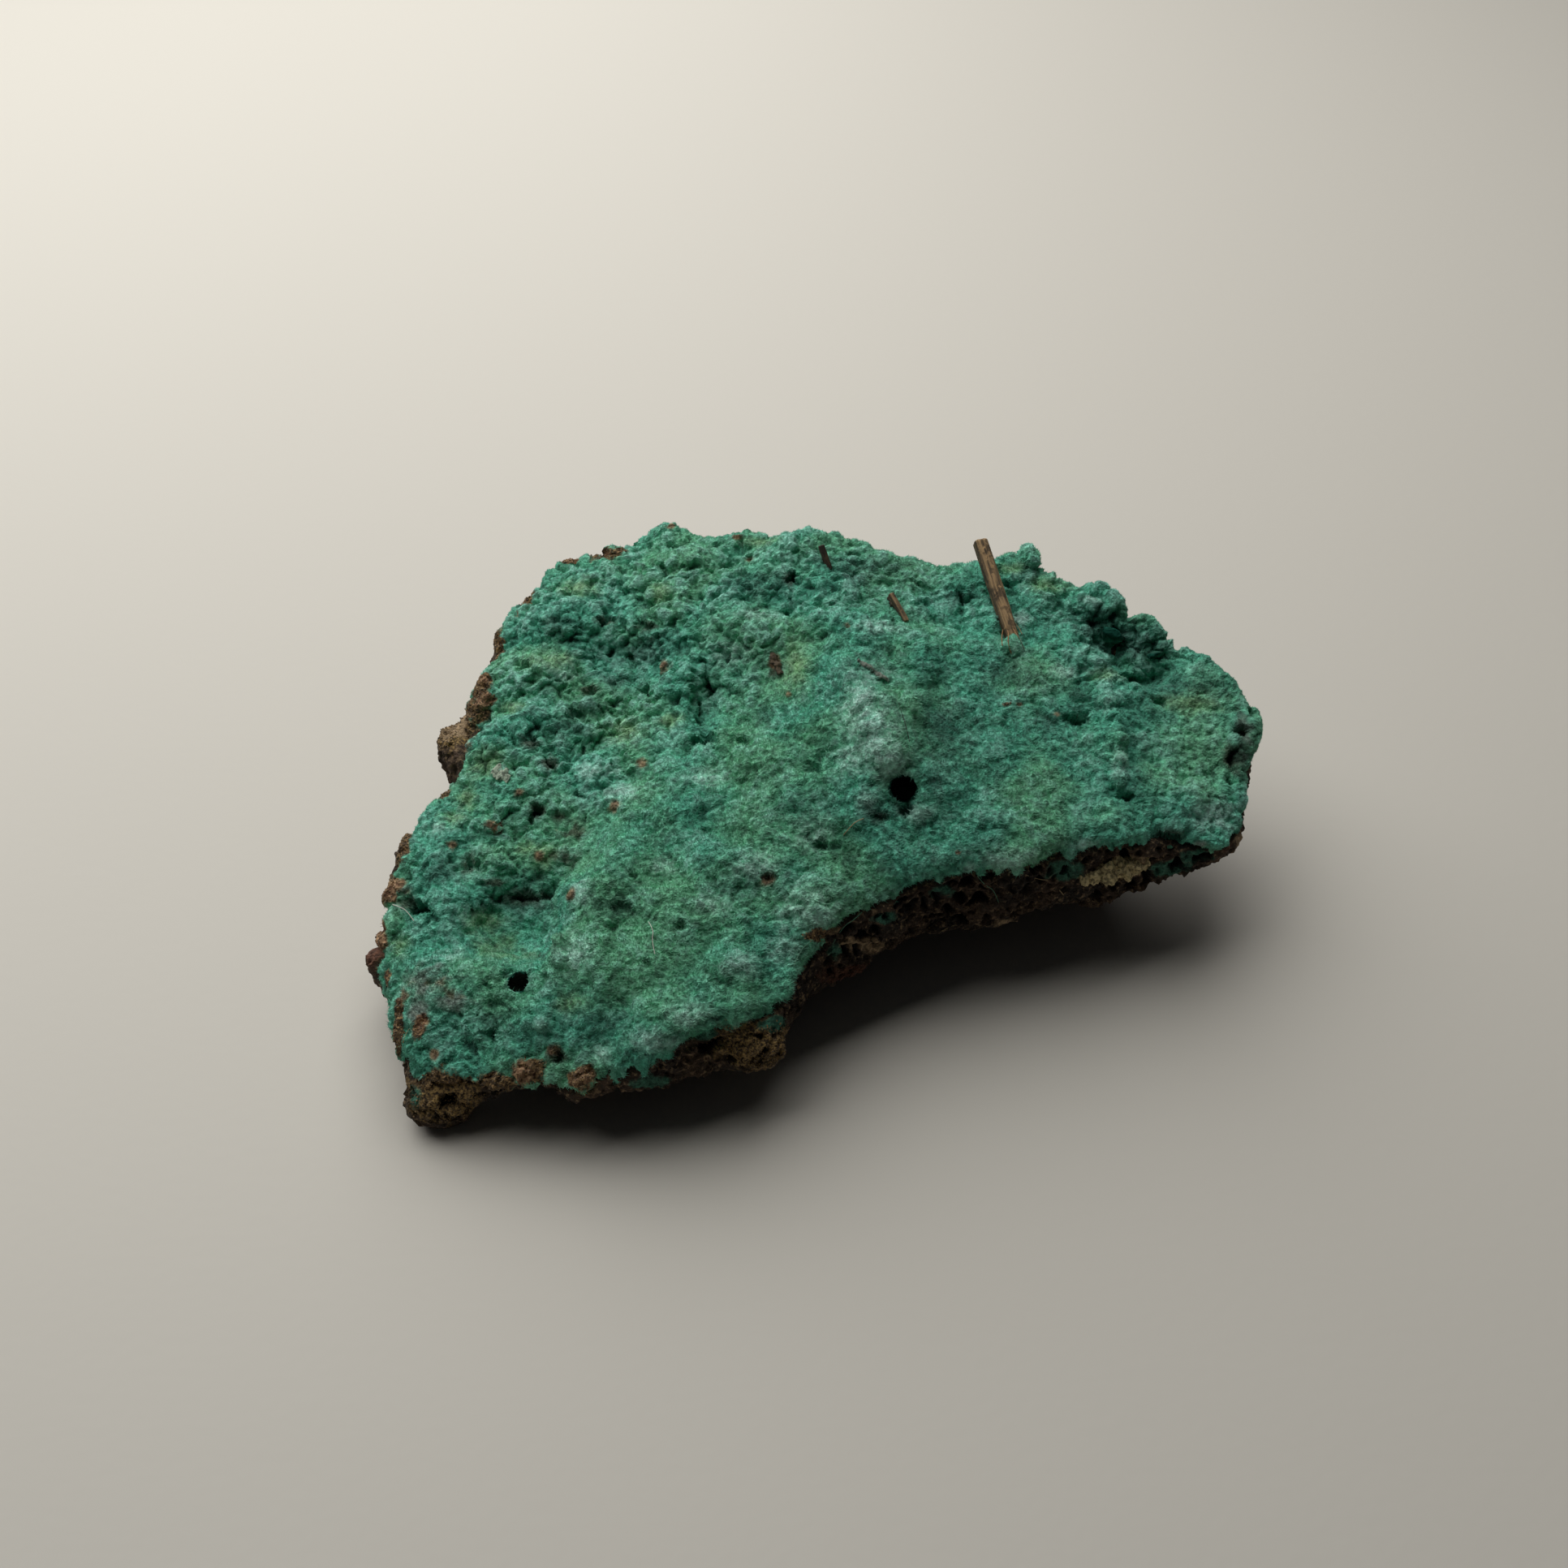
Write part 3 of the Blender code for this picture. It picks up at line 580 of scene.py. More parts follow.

# The crust's colour
# Blue green brochantite, yellow green where it is thin, and paler on the crests, partly in its own colour
# and partly as painted highlight.
# Rust, a violet film and pale bloom lie on it in patches, and iron oxide shows through at the rim. Painted
# shade of dark teal lies in the grooves, hollows and pits, the holes are painted black as their shadow, and
# a painted sheen lies on the crest.

# Patches by pixel of the photograph: u, v, half width and half height in pixels.
RUST = [
    (757, 684, 13, 10), (704, 689, 12, 6), (824, 642, 10, 5), (908, 662, 9, 5), (924, 691, 9, 5),
    (644, 740, 7, 8), (639, 760, 6, 8), (617, 804, 8, 7), (595, 840, 8, 8), (600, 862, 10, 7),
    (812, 818, 15, 13), (955, 815, 9, 14), (972, 856, 6, 5), (793, 942, 10, 8), (639, 976, 8, 7),
    (759, 994, 13, 9), (608, 1019, 11, 11), (685, 1015, 10, 9), (665, 1055, 9, 7), (557, 1041, 8, 7),
    (501, 1227, 9, 12), (519, 1262, 9, 11), (645, 1320, 16, 15), (717, 1330, 14, 13), (683, 1294, 9, 9),
    (703, 1102, 9, 8), (1043, 772, 7, 6), (1302, 881, 7, 5), (946, 1084, 12, 9), (1255, 868, 6, 4),
    (536, 1300, 8, 8), (482, 1094, 18, 13), (466, 1158, 12, 20), (1180, 1050, 4, 3), (592, 862, 16, 14),
]
OCHRE = [
    (982, 822, 18, 36), (1467, 866, 44, 14), (1364, 832, 22, 10), (713, 724, 30, 14), (815, 731, 18, 14),
    (681, 814, 30, 14), (770, 902, 34, 18), (826, 889, 15, 14), (634, 873, 16, 8), (597, 938, 26, 20),
    (575, 985, 20, 18), (612, 1163, 26, 22), (596, 1136, 26, 16), (493, 1167, 12, 16),
    (672, 1054, 20, 16), (651, 1045, 14, 10), (707, 1235, 20, 12), (1245, 700, 24, 8), (935, 668, 30, 7),
    (640, 1176, 20, 9), (1290, 720, 26, 12), (560, 1010, 20, 12), (1470, 1050, 30, 9),
]
BLOOM = [
    (1050, 935, 22, 22), (1085, 828, 22, 10), (806, 1284, 30, 16), (742, 1298, 15, 12),
    (560, 1183, 18, 12), (707, 1172, 20, 22), (995, 1122, 32, 32), (932, 1068, 30, 18),
    (1003, 1026, 24, 22), (873, 1114, 20, 14), (916, 1190, 24, 16), (813, 1067, 18, 10),
    (766, 976, 26, 10), (715, 1100, 14, 16), (541, 1021, 20, 12), (667, 1262, 10, 9),
    (1244, 1059, 36, 13), (1195, 1069, 14, 8), (1337, 1040, 26, 6), (1494, 1004, 34, 20),
    (1070, 988, 16, 14), (1253, 765, 18, 10), (1315, 828, 24, 10), (1364, 868, 12, 14),
    (1378, 940, 12, 20), (681, 767, 12, 8), (903, 804, 24, 20), (735, 949, 30, 10), (572, 920, 14, 10),
    (932, 760, 24, 12), (699, 833, 14, 8), (617, 954, 12, 8), (1128, 1003, 20, 12), (965, 1170, 22, 20),
    (850, 1250, 26, 14), (1250, 800, 14, 8), (1345, 740, 18, 8), (1080, 770, 30, 12), (640, 720, 22, 10),
    (870, 960, 26, 12),
]
# Painted sheen: pale patches on the lit side of the crest.
PAINTED_CREST_SHEEN = [(1062, 872, 28, 50), (1078, 905, 32, 48), (1094, 938, 28, 26), (1066, 890, 18, 34)]
VIOLET = [
    (532, 1210, 40, 26), (515, 1248, 18, 28), (560, 1232, 28, 16), (499, 1098, 14, 10),
    (1478, 1040, 12, 6), (1534, 905, 12, 36),
]
# Painted shade: dark patches laid in the hollows, in the cavity and on slopes turned away from the light.
PAINTED_SHADE_PATCHES = [
    (1351, 756, 20, 14), (1422, 796, 24, 12), (1382, 790, 24, 12), (1270, 706, 14, 10),
    (1056, 712, 22, 12), (1186, 735, 22, 14), (766, 1118, 32, 16), (651, 1085, 30, 16),
    (612, 1254, 26, 18), (690, 770, 30, 16), (760, 840, 34, 18), (720, 870, 30, 14), (1530, 915, 20, 56),
    (940, 880, 14, 20), (1083, 1004, 20, 12), (1150, 960, 14, 16), (540, 1075, 30, 18),
    (1290, 890, 24, 14), (1050, 1060, 14, 10), (1372, 778, 60, 30), (640, 1112, 46, 18),
    (1060, 700, 70, 18), (1172, 900, 44, 50), (790, 800, 50, 26), (1400, 800, 50, 22),
    (1460, 845, 66, 22), (1250, 830, 40, 20), (700, 900, 40, 18), (930, 720, 50, 20),
    (1120, 1000, 26, 12), (598, 1116, 24, 12), (1330, 860, 20, 18), (1440, 1030, 26, 12),
]
BARE = [
    (701, 690, 14, 7), (748, 684, 27, 13), (648, 737, 10, 25), (613, 797, 13, 24), (592, 847, 15, 22),
    (562, 900, 32, 28), (560, 945, 8, 22), (548, 978, 10, 9), (495, 1042, 13, 30), (478, 1096, 20, 18),
    (462, 1162, 14, 28), (477, 1207, 6, 13), (517, 1266, 9, 13), (491, 1266, 7, 36), (548, 1350, 46, 33),
    (610, 1338, 26, 16), (653, 1320, 20, 17), (717, 1328, 16, 15), (930, 1288, 56, 28), (1240, 868, 7, 5),
    (1395, 1064, 34, 8), (1010, 1152, 30, 8), (760, 676, 18, 8), (600, 862, 12, 10), (583, 878, 22, 19),
    (572, 890, 24, 20), (608, 1018, 10, 9),
]
UMBER = [
    (651, 914, 16, 10), (677, 943, 14, 10), (728, 849, 15, 9), (797, 788, 10, 8), (745, 764, 13, 8),
    (575, 1064, 13, 15), (500, 1112, 20, 9), (645, 1108, 40, 13), (612, 1088, 16, 6), (696, 1058, 18, 11),
    (704, 1022, 15, 15), (1443, 1032, 17, 9), (1521, 935, 15, 22), (661, 1000, 10, 13),
    (687, 1304, 13, 9), (812, 818, 13, 11), (955, 822, 10, 18), (793, 771, 15, 7), (690, 1005, 12, 10),
    (1084, 1006, 13, 8), (972, 714, 9, 11), (640, 1168, 12, 10), (665, 1176, 14, 8), (600, 835, 8, 8),
    (1330, 886, 16, 6),
]
CRUST_PATCHES = {
    "rust": RUST,
    "ochre": OCHRE,
    "bloom": BLOOM,
    "painted_crest_sheen": PAINTED_CREST_SHEEN,
    "violet": VIOLET,
    "painted_shade_patch": PAINTED_SHADE_PATCHES,
    "bare": BARE,
    "umber": UMBER,
}


def patch_of(points, spots):
    """1 at the heart of each spot, 0 at its edge, below 0 outside, so that a material can fray the edge."""
    best = np.full(len(points), -1.0)
    for u, v, wide, high in spots:
        best = np.maximum(best, 1.0 - reach_of(points, u, v, wide, high))
    return best


def store_patches(piece, patches):
    points = read(piece.data, "co")
    for name, spots in patches.items():
        store(piece.data, name, patch_of(points, spots))


store_patches(crust, CRUST_PATCHES)


def shader_group(name, numbers, outputs):
    """A shader group with a place and numbers in, named sockets out. Returns it, its inputs and outputs."""
    group = bpy.data.node_groups.new(name, "ShaderNodeTree")
    group.interface.new_socket("Place", in_out="INPUT", socket_type="NodeSocketVector")
    for label, value in numbers.items():
        socket = group.interface.new_socket(label, in_out="INPUT", socket_type="NodeSocketFloat")
        socket.default_value = value
    for label, kind in outputs.items():
        group.interface.new_socket(label, in_out="OUTPUT", socket_type=kind)
    given = group.nodes.new("NodeGroupInput").outputs
    result = group.nodes.new("NodeGroupOutput").inputs
    return group, given, result


def mix_colour(share, first, second, blend="MIX"):
    """The first colour where the share is 0, the second where it is 1."""
    tree = tree_of(share, first, second)
    node = add_node(tree, "ShaderNodeMix", data_type="RGBA", blend_type=blend)
    for index, value in ((0, share), (6, first), (7, second)):
        if isinstance(value, bpy.types.NodeSocket):
            tree.links.new(value, node.inputs[index])
        else:
            node.inputs[index].default_value = value
    return node.outputs[2]


def surface_value(tree, name):
    return add_node(tree, "ShaderNodeAttribute", attribute_name=name).outputs["Fac"]


def frayed(name, ragged, low=-0.12, high=0.38):
    """A patch's mask, its edge broken up by a noise."""
    loose = times(minus(ragged, 0.5), 1.7)
    return ramp_between(plus(surface_value(tree_of(ragged), name), loose), low, high)


def speckled(colour, mottle, lightness, low, high):
    """A colour that a noise makes darker and lighter in specks, between two shares of it."""
    tree = tree_of(colour)
    inputs = {"Value": mottle, "From Min": 0.3, "From Max": 0.7, "To Min": low, "To Max": high}
    speck = times(add_node(tree, "ShaderNodeMapRange", inputs).outputs["Result"], lightness)
    grey = add_node(tree, "ShaderNodeCombineXYZ", {0: speck, 1: speck, 2: speck}).outputs[0]
    return mix_colour(1.0, colour, grey, "MULTIPLY")


PAINTED_SHADE_TEAL = (0.010, 0.062, 0.044, 1)
BLUE_GREEN = (0.080, 0.345, 0.246, 1)
LEAF_GREEN = (0.125, 0.365, 0.222, 1)
PALE_CREST_AND_HIGHLIGHT = (0.240, 0.520, 0.435, 1)
YELLOW_GREEN = (0.200, 0.345, 0.165, 1)
BLOOM_BLUE = (0.440, 0.670, 0.600, 1)
VIOLET_GREY = (0.180, 0.180, 0.170, 1)
RUST_BROWN = (0.165, 0.085, 0.044, 1)
RUST_TAN = (0.290, 0.185, 0.105, 1)
BARE_DARK = (0.048, 0.031, 0.016, 1)
BARE_GOLD = (0.235, 0.150, 0.066, 1)
UMBER_HOLLOW = (0.050, 0.044, 0.024, 1)
HOLE_SHADOW_BLACK = (0.002, 0.003, 0.002, 1)
DULL_DEPTH = 1.1

tint_and_shade, given, result = shader_group(
    "brochantite_tint_and_painted_shade", {"Lightness": 1.0}, {"Color": "NodeSocketColor", "Height": "NodeSocketFloat"}
)
place = scaled(given["Place"], 1.0 / MM)
broad = noise_of(place, 7.0)
middle = noise_of(place, 1.6)
mottle = noise_of(place, 0.36)
ragged = noise_of(place, 0.9, detail=3.0)
relief = surface_value(tint_and_shade, "relief")
body = mix_colour(ramp_between(broad, 0.38, 0.62), BLUE_GREEN, LEAF_GREEN)
# Paler on the crests: partly their own colour, partly painted highlight.
crest = plus(relief, times(minus(middle, 0.5), 0.9))
colour = mix_colour(times(ramp_between(crest, 0.5, 1.05), 0.75), body, PALE_CREST_AND_HIGHLIGHT)
ochre = times(frayed("ochre", ragged, -0.6, 1.1), 0.75)
colour = mix_colour(ochre, colour, YELLOW_GREEN)
crowns = plus(times(ramp_between(relief, 0.15, 0.75), 0.55), 0.45)
bloom = times(frayed("bloom", ragged, -0.45, 0.95), 0.6)
# Here the bloom also takes in the painted sheen on the crest.
bloom = calculate("MAXIMUM", bloom, frayed("painted_crest_sheen", ragged, -0.35, 1.1))
bloom = times(bloom, crowns)
colour = mix_colour(bloom, colour, BLOOM_BLUE)
violet = times(frayed("violet", ragged, -0.1, 0.8), 0.75)
film = mix_colour(ramp_between(middle, 0.5, 0.6), VIOLET_GREY, RUST_BROWN)
colour = mix_colour(violet, colour, film)
rust = mix_colour(ramp_between(mottle, 0.35, 0.65), RUST_BROWN, RUST_TAN)
umber = times(frayed("umber", ragged, -0.3, 0.6), 0.8)
colour = mix_colour(umber, colour, UMBER_HOLLOW)
colour = mix_colour(times(frayed("rust", ragged, -0.15, 0.55), 0.9), colour, rust)
# Painted shade: the grooves, the painted shade patches and the pits are darkened towards dark teal.
groove_shade = ramp_between(relief, 0.42, 0.0)
painted_shade_patch = times(frayed("painted_shade_patch", ragged, -0.3, 1.0), 0.6)
painted_shade = calculate("MAXIMUM", times(groove_shade, 0.68), painted_shade_patch)
painted_shade = calculate("MAXIMUM", painted_shade, ramp_between(surface_value(tint_and_shade, "pit"), 0.4, 1.4))
colour = mix_colour(painted_shade, colour, PAINTED_SHADE_TEAL)
grit = noise_of(place, 0.17, detail=1.0)
stone = mix_colour(ramp_between(grit, 0.4, 0.66), BARE_DARK, BARE_GOLD)
stone = mix_colour(frayed("rust", ragged, -0.15, 0.55), stone, rust)
colour = mix_colour(frayed("bare", ragged, -0.1, 0.25), colour, stone)
# Painted shadow: the holes are painted black inside.
colour = mix_colour(ramp_between(surface_value(tint_and_shade, "pit"), 1.91, 1.99), colour, HOLE_SHADOW_BLACK)
tint_and_shade.links.new(speckled(colour, mottle, given["Lightness"], 0.55, 1.4), result["Color"])
pile = noise_of(place, 0.16, detail=1.0)
tint_and_shade.links.new(plus(pile, times(mottle, 0.8)), result["Height"])


def place_group(tree, group, **numbers):
    """Adds a shader group that reads Object coordinates to a material."""
    node = add_node(tree, "ShaderNodeGroup", node_tree=group)
    tree.links.new(add_node(tree, "ShaderNodeTexCoord").outputs["Object"], node.inputs["Place"])
    for label, value in numbers.items():
        node.inputs[label].default_value = value
    return node


def face_mean(mesh, values):
    """The mean of a value over the three corners of each face."""
    corners = np.empty(len(mesh.polygons) * 3, np.int32)
    mesh.polygons.foreach_get("vertices", corners)
    return values[corners].reshape(-1, 3).mean(1)


def object_place(tree):
    """Object coordinates in millimetres."""
    return scaled(add_node(tree, "ShaderNodeTexCoord").outputs["Object"], 1.0 / MM)


def dull_pits(piece, material):
    """Gives the faces deep in a piece's pits a copy of its material without sheen, so that the painted shade
    in them stays dark.
    """
    dull = material.copy()
    dull.name = material.name + "_in_pits"
    dull.node_tree.nodes["Principled BSDF"].inputs["Specular IOR Level"].default_value = 0.0
    piece.data.materials.append(dull)
    deep = face_mean(piece.data, read_layer(piece.data, "pit")) > DULL_DEPTH
    piece.data.polygons.foreach_set("material_index", deep.astype(np.int32))
    piece.data.update()


tinted = place_group(crust_nodes, tint_and_shade, Lightness=1.15)
crust_nodes.links.new(tinted.outputs["Color"], crust_shader.inputs["Base Color"])
add_bump(crust_nodes, crust_shader, tinted.outputs["Height"], 0.9, 0.12 * MM)
dull_pits(crust, crust_material)
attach(crust, "root")
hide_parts("brochantite_crust")

# The crust's velvet
# Every nodule bristles with needles of brochantite, a few tenths of a millimetre long, paler at the tips.
# A node tree scatters them over the crust in five sowings, and leaves the pits and the bare ground free.
NEEDLES_A_SOWING = 48000
NEEDLE_LENGTHS = (0.16, 0.19, 0.22, 0.25, 0.30)
FIRST_SEED = 3
NEEDLE_SIZES = {
    "Needles A Square Metre": 1.0,
    "Length": 0.26,
    "Thickness": 0.042,
    "Lean": 0.9,
    "Comb": 0.5,
    "Seed": 1.0,
}
PALE_TIP = (0.52, 0.66, 0.62, 1)


def sow(tree, given, density, seed):
    """Points scattered over the mesh, so many to a square metre."""
    inputs = {"Mesh": given["Geometry"], "Density": density, "Seed": seed}
    return add_node(tree, "GeometryNodeDistributePointsOnFaces", inputs).outputs


def random_vector(tree, low, high, seed):
    inputs = {"Min": low, "Max": high, "Seed": seed}
    return add_node(tree, "FunctionNodeRandomValue", inputs, data_type="FLOAT_VECTOR").outputs[0]


def finish_sowing(tree, given, spots, instance, turn, size):
    """Ends a tree that sets one thing on every point, turned and sized."""
    inputs = {"Points": spots, "Instance": instance, "Rotation": turn, "Scale": size}
    finish_tree(tree, given, add_node(tree, "GeometryNodeInstanceOnPoints", inputs).outputs[0])


velvet_tree, given = shape_tree("needle_velvet", NEEDLE_SIZES)
open_ground = ramp_between(attribute_in(velvet_tree, "pit"), 0.9, 0.3)
overgrown = ramp_between(attribute_in(velvet_tree, "bare"), 0.15, -0.25)
standing = times(attribute_in(velvet_tree, "outer"), open_ground)
standing = times(standing, overgrown)
density = times(given["Needles A Square Metre"], standing)
seed = calculate("ROUND", given["Seed"])
sown = sow(velvet_tree, given, density, seed)
thick = times(given["Thickness"], MM / 2)
long = times(given["Length"], MM)
cone = {"Vertices": 3, "Radius Top": 0.0, "Radius Bottom": thick, "Depth": long}
needle = add_node(velvet_tree, "GeometryNodeMeshCone", cone)
at_needle = add_node(velvet_tree, "GeometryNodeInputPosition").outputs[0]
height = add_node(velvet_tree, "ShaderNodeSeparateXYZ", {0: at_needle}).outputs[2]
needle = add_node(
    velvet_tree,
    "GeometryNodeStoreNamedAttribute",
    {"Geometry": needle.outputs["Mesh"], "Name": "tip", "Value": calculate("DIVIDE", height, long)},
    data_type="FLOAT",
    domain="POINT",
)
any_way = random_vector(velvet_tree, (-1.0, -1.0, -1.0), (1.0, 1.0, 1.0), seed)
comb_way = add_node(velvet_tree, "ShaderNodeCombineXYZ", {0: 0.8, 1: 0.5, 2: 0.3}).outputs[0]
leaning = vector_plus(scaled(any_way, given["Lean"]), scaled(comb_way, given["Comb"]))
leaning = vector_plus(sown["Normal"], leaning)
turned = add_node(velvet_tree, "FunctionNodeAlignRotationToVector", {"Vector": leaning}, axis="Z")
uneven = {"Min": 0.55, "Max": 1.35, "Seed": seed}
growth = add_node(velvet_tree, "FunctionNodeRandomValue", uneven, data_type="FLOAT")
growth = next(s for s in growth.outputs if s.enabled)
growth = times(growth, attribute_in(velvet_tree, "silky"))
grown = add_node(velvet_tree, "ShaderNodeCombineXYZ", {0: 1.0, 1: 1.0, 2: growth}).outputs[0]
finish_sowing(velvet_tree, given, sown["Points"], needle.outputs[0], turned.outputs[0], grown)

velvet_material, tree, shader = new_material("needle_velvet", 0.8)
tinted = place_group(tree, tint_and_shade, Lightness=1.4)
tip = times(ramp_between(surface_value(tree, "tip"), 0.2, 1.0), 0.25)
tree.links.new(mix_colour(tip, tinted.outputs["Color"], PALE_TIP), shader.inputs["Base Color"])


def area_of(mesh):
    """The area on which needles stand."""
    areas = np.empty(len(mesh.polygons), np.float32)
    mesh.polygons.foreach_get("area", areas)
    outer = read_layer(mesh, "outer") * smooth_step(0.15, -0.25, read_layer(mesh, "bare"))
    return float((areas * face_mean(mesh, outer)).sum())


needles_a_metre = NEEDLES_A_SOWING / area_of(crust.data)
for number, length in enumerate(NEEDLE_LENGTHS):
    velvet = new_piece(f"velvet_{number + 1}", crust.data.copy())
    seed = float(number + FIRST_SEED)
    sizes = {"Needles A Square Metre": needles_a_metre, "Length": length, "Seed": seed}
    grow(velvet, velvet_tree, velvet_material, **sizes)
    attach(velvet, "root")

# The matrix
# Brown gossan: a cellular iron oxide rock, broken into knobs and sockets with thin walls between them.
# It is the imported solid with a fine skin, into which a node tree sinks the cells and raises the grain.
MATRIX_HEALING_VOXEL = 0.45 * MM
MATRIX_VOXEL = 0.17 * MM
MATRIX_TRIANGLES = 190000
MATRIX_SWELL = 0.2 * MM
TAN = [
    (1373, 1074, 40, 10), (1400, 1060, 18, 8), (1234, 1136, 16, 7), (1050, 1158, 24, 12),
    (1020, 1146, 14, 8), (1527, 1036, 10, 14), (560, 892, 34, 18), (1075, 1165, 16, 10),
    (478, 1092, 16, 10),
]
RED = [(1060, 1205, 60, 12), (1515, 1040, 18, 12), (462, 1170, 16, 22)]
GOLDEN = [
    (930, 1288, 58, 32), (548, 1352, 48, 36), (562, 900, 34, 30), (478, 1096, 24, 20),
    (653, 1325, 22, 18), (717, 1332, 20, 16),
]
GREENED = [
    (1310, 1072, 30, 12), (1160, 1098, 20, 8), (1440, 1070, 30, 12), (955, 1262, 20, 10),
    (1090, 1130, 16, 8), (1030, 1170, 12, 14), (800, 1332, 26, 10), (512, 1350, 8, 14),
    (1475, 1055, 20, 8), (870, 1275, 16, 8),
]
# How lumpy the matrix is here and there, as for the crust. The last row is the whole stone.
MATRIX_LUMPINESS = [
    (480, 1095, 26, 0.2), (926, 1285, 60, 0.3), (545, 1345, 50, 0.3), (560, 893, 40, 0.25),
    (463, 1170, 24, 0.4), (1400, 1075, 100, 1.3), (1200, 1110, 90, 1.2), (1060, 1170, 90, 1.3),
    (966, 966, 900, 0.6),
]

CELL_SIZES = {"Cell Size": 1.35, "Cell Depth": 1.5, "Grain Rise": 0.5}
boxwork_tree, given = shape_tree("boxwork", CELL_SIZES)
place = place_in(boxwork_tree)
shift = scaled(noise_of(place, 1.9, detail=3.0, output="Color"), 2.6)
bent = vector_plus(place, shift)
inputs = {"Vector": bent, "Scale": calculate("DIVIDE", 1.0, given["Cell Size"])}
cells = add_node(boxwork_tree, "ShaderNodeTexVoronoi", inputs, feature="DISTANCE_TO_EDGE")
hollow = ramp_between(cells.outputs["Distance"], 0.06, 0.34)
some = ramp_between(noise_of(place, 2.4), 0.36, 0.56)
hollow = times(hollow, some)
grain = minus(noise_of(place, 0.5, detail=3.0), 0.5)
rise = times(hollow, given["Cell Depth"])
rise = times(rise, times(attribute_in(boxwork_tree, "lumpy"), -1.0))
rise = plus(rise, times(grain, times(given["Grain Rise"], 2.0)))
rise = times(rise, attribute_in(boxwork_tree, "outer"))
finish_relief(boxwork_tree, given, rise, plus(rise, 0.5))

gossan_material, gossan_nodes, gossan_shader = new_material("brown_gossan", 0.9)
matrix = new_piece("matrix", tidy_copy(matrix_cad))
skin(matrix, MATRIX_HEALING_VOXEL, 2)
skin(matrix, MATRIX_VOXEL, 4)
points = read(matrix.data, "co")
normals = read(matrix.data, "normal")
points += normals * MATRIX_SWELL
hidden_under_crust = distance_to(surface_tree(crust_cad), points, 1.0 * MM)
outer = smooth_step(0.3 * MM, 0.7 * MM, hidden_under_crust)
worn_flat = smooth_step(0.25 * MM, 0.7 * MM, points[:, 2])
ragged = raggedness(points, 0.55) * 0.45
hole_shade = np.zeros(len(points))
for hole in HOLES:
    points, inside = widen_hole(points, *hole, ragged)
    hole_shade = np.maximum(hole_shade, inside)
write(matrix.data, points)
store(matrix.data, "pit", HOLE_SHADE * hole_shade)
store(matrix.data, "outer", outer * worn_flat)
store(matrix.data, "lumpy", blend_of(points, MATRIX_LUMPINESS))
grow(matrix, boxwork_tree, gossan_material)
points = read(matrix.data, "co")
points[:, 2] = np.maximum(points[:, 2], 0.0)
write(matrix.data, points)
thin_out(matrix, MATRIX_TRIANGLES)
store_patches(matrix, {"tan": TAN, "red": RED, "golden": GOLDEN, "greened": GREENED})

CELL_SHADE_BLACK = (0.004, 0.0035, 0.003, 1)
DARK_BROWN = (0.020, 0.013, 0.008, 1)
RUSTY_BROWN = (0.064, 0.037, 0.019, 1)
UMBER_BROWN = (0.050, 0.032, 0.016, 1)
GOLDEN_BROWN = (0.350, 0.230, 0.085, 1)
TAN_EDGE = (0.33, 0.235, 0.135, 1)
IRON_RED = (0.115, 0.047, 0.025, 1)
GREEN_FILM = (0.04, 0.15, 0.10, 1)

gossan, given, result = shader_group(
    "gossan_tint_and_painted_shade", {"Lightness": 1.0}, {"Color": "NodeSocketColor", "Height": "NodeSocketFloat"}
)
place = scaled(given["Place"], 1.0 / MM)
broad = noise_of(place, 2.6, detail=4.0)
mottle = noise_of(place, 0.3, detail=4.0)
ragged = noise_of(place, 0.8, detail=4.0)
relief = surface_value(gossan, "relief")
colour = mix_colour(ramp_between(broad, 0.35, 0.65), DARK_BROWN, RUSTY_BROWN)
colour = mix_colour(times(ramp_between(mottle, 0.52, 0.72), 0.5), colour, TAN_EDGE)
grit = noise_of(place, 0.17, detail=2.0)
golden = mix_colour(ramp_between(grit, 0.36, 0.64), UMBER_BROWN, GOLDEN_BROWN)
colour = mix_colour(frayed("golden", ragged), colour, golden)
colour = mix_colour(frayed("red", ragged), colour, IRON_RED)
colour = mix_colour(frayed("greened", ragged), colour, GREEN_FILM)
colour = mix_colour(frayed("tan", ragged), colour, TAN_EDGE)
# Painted shade: the sunken cells are darkened towards near black.
colour = mix_colour(ramp_between(relief, 0.45, 0.0), colour, CELL_SHADE_BLACK)
# Painted shadow: the holes are painted black inside.
colour = mix_colour(ramp_between(surface_value(gossan, "pit"), 1.3, 1.9), colour, HOLE_SHADOW_BLACK)
gossan.links.new(speckled(colour, mottle, given["Lightness"], 0.5, 1.5), result["Color"])
gossan.links.new(plus(mottle, noise_of(place, 0.12, detail=2.0)), result["Height"])

tinted = place_group(gossan_nodes, gossan)
gossan_nodes.links.new(tinted.outputs["Color"], gossan_shader.inputs["Base Color"])
add_bump(gossan_nodes, gossan_shader, tinted.outputs["Height"], 1.0, 0.15 * MM)
dull_pits(matrix, gossan_material)
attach(matrix, "root")
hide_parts("gossan_matrix")

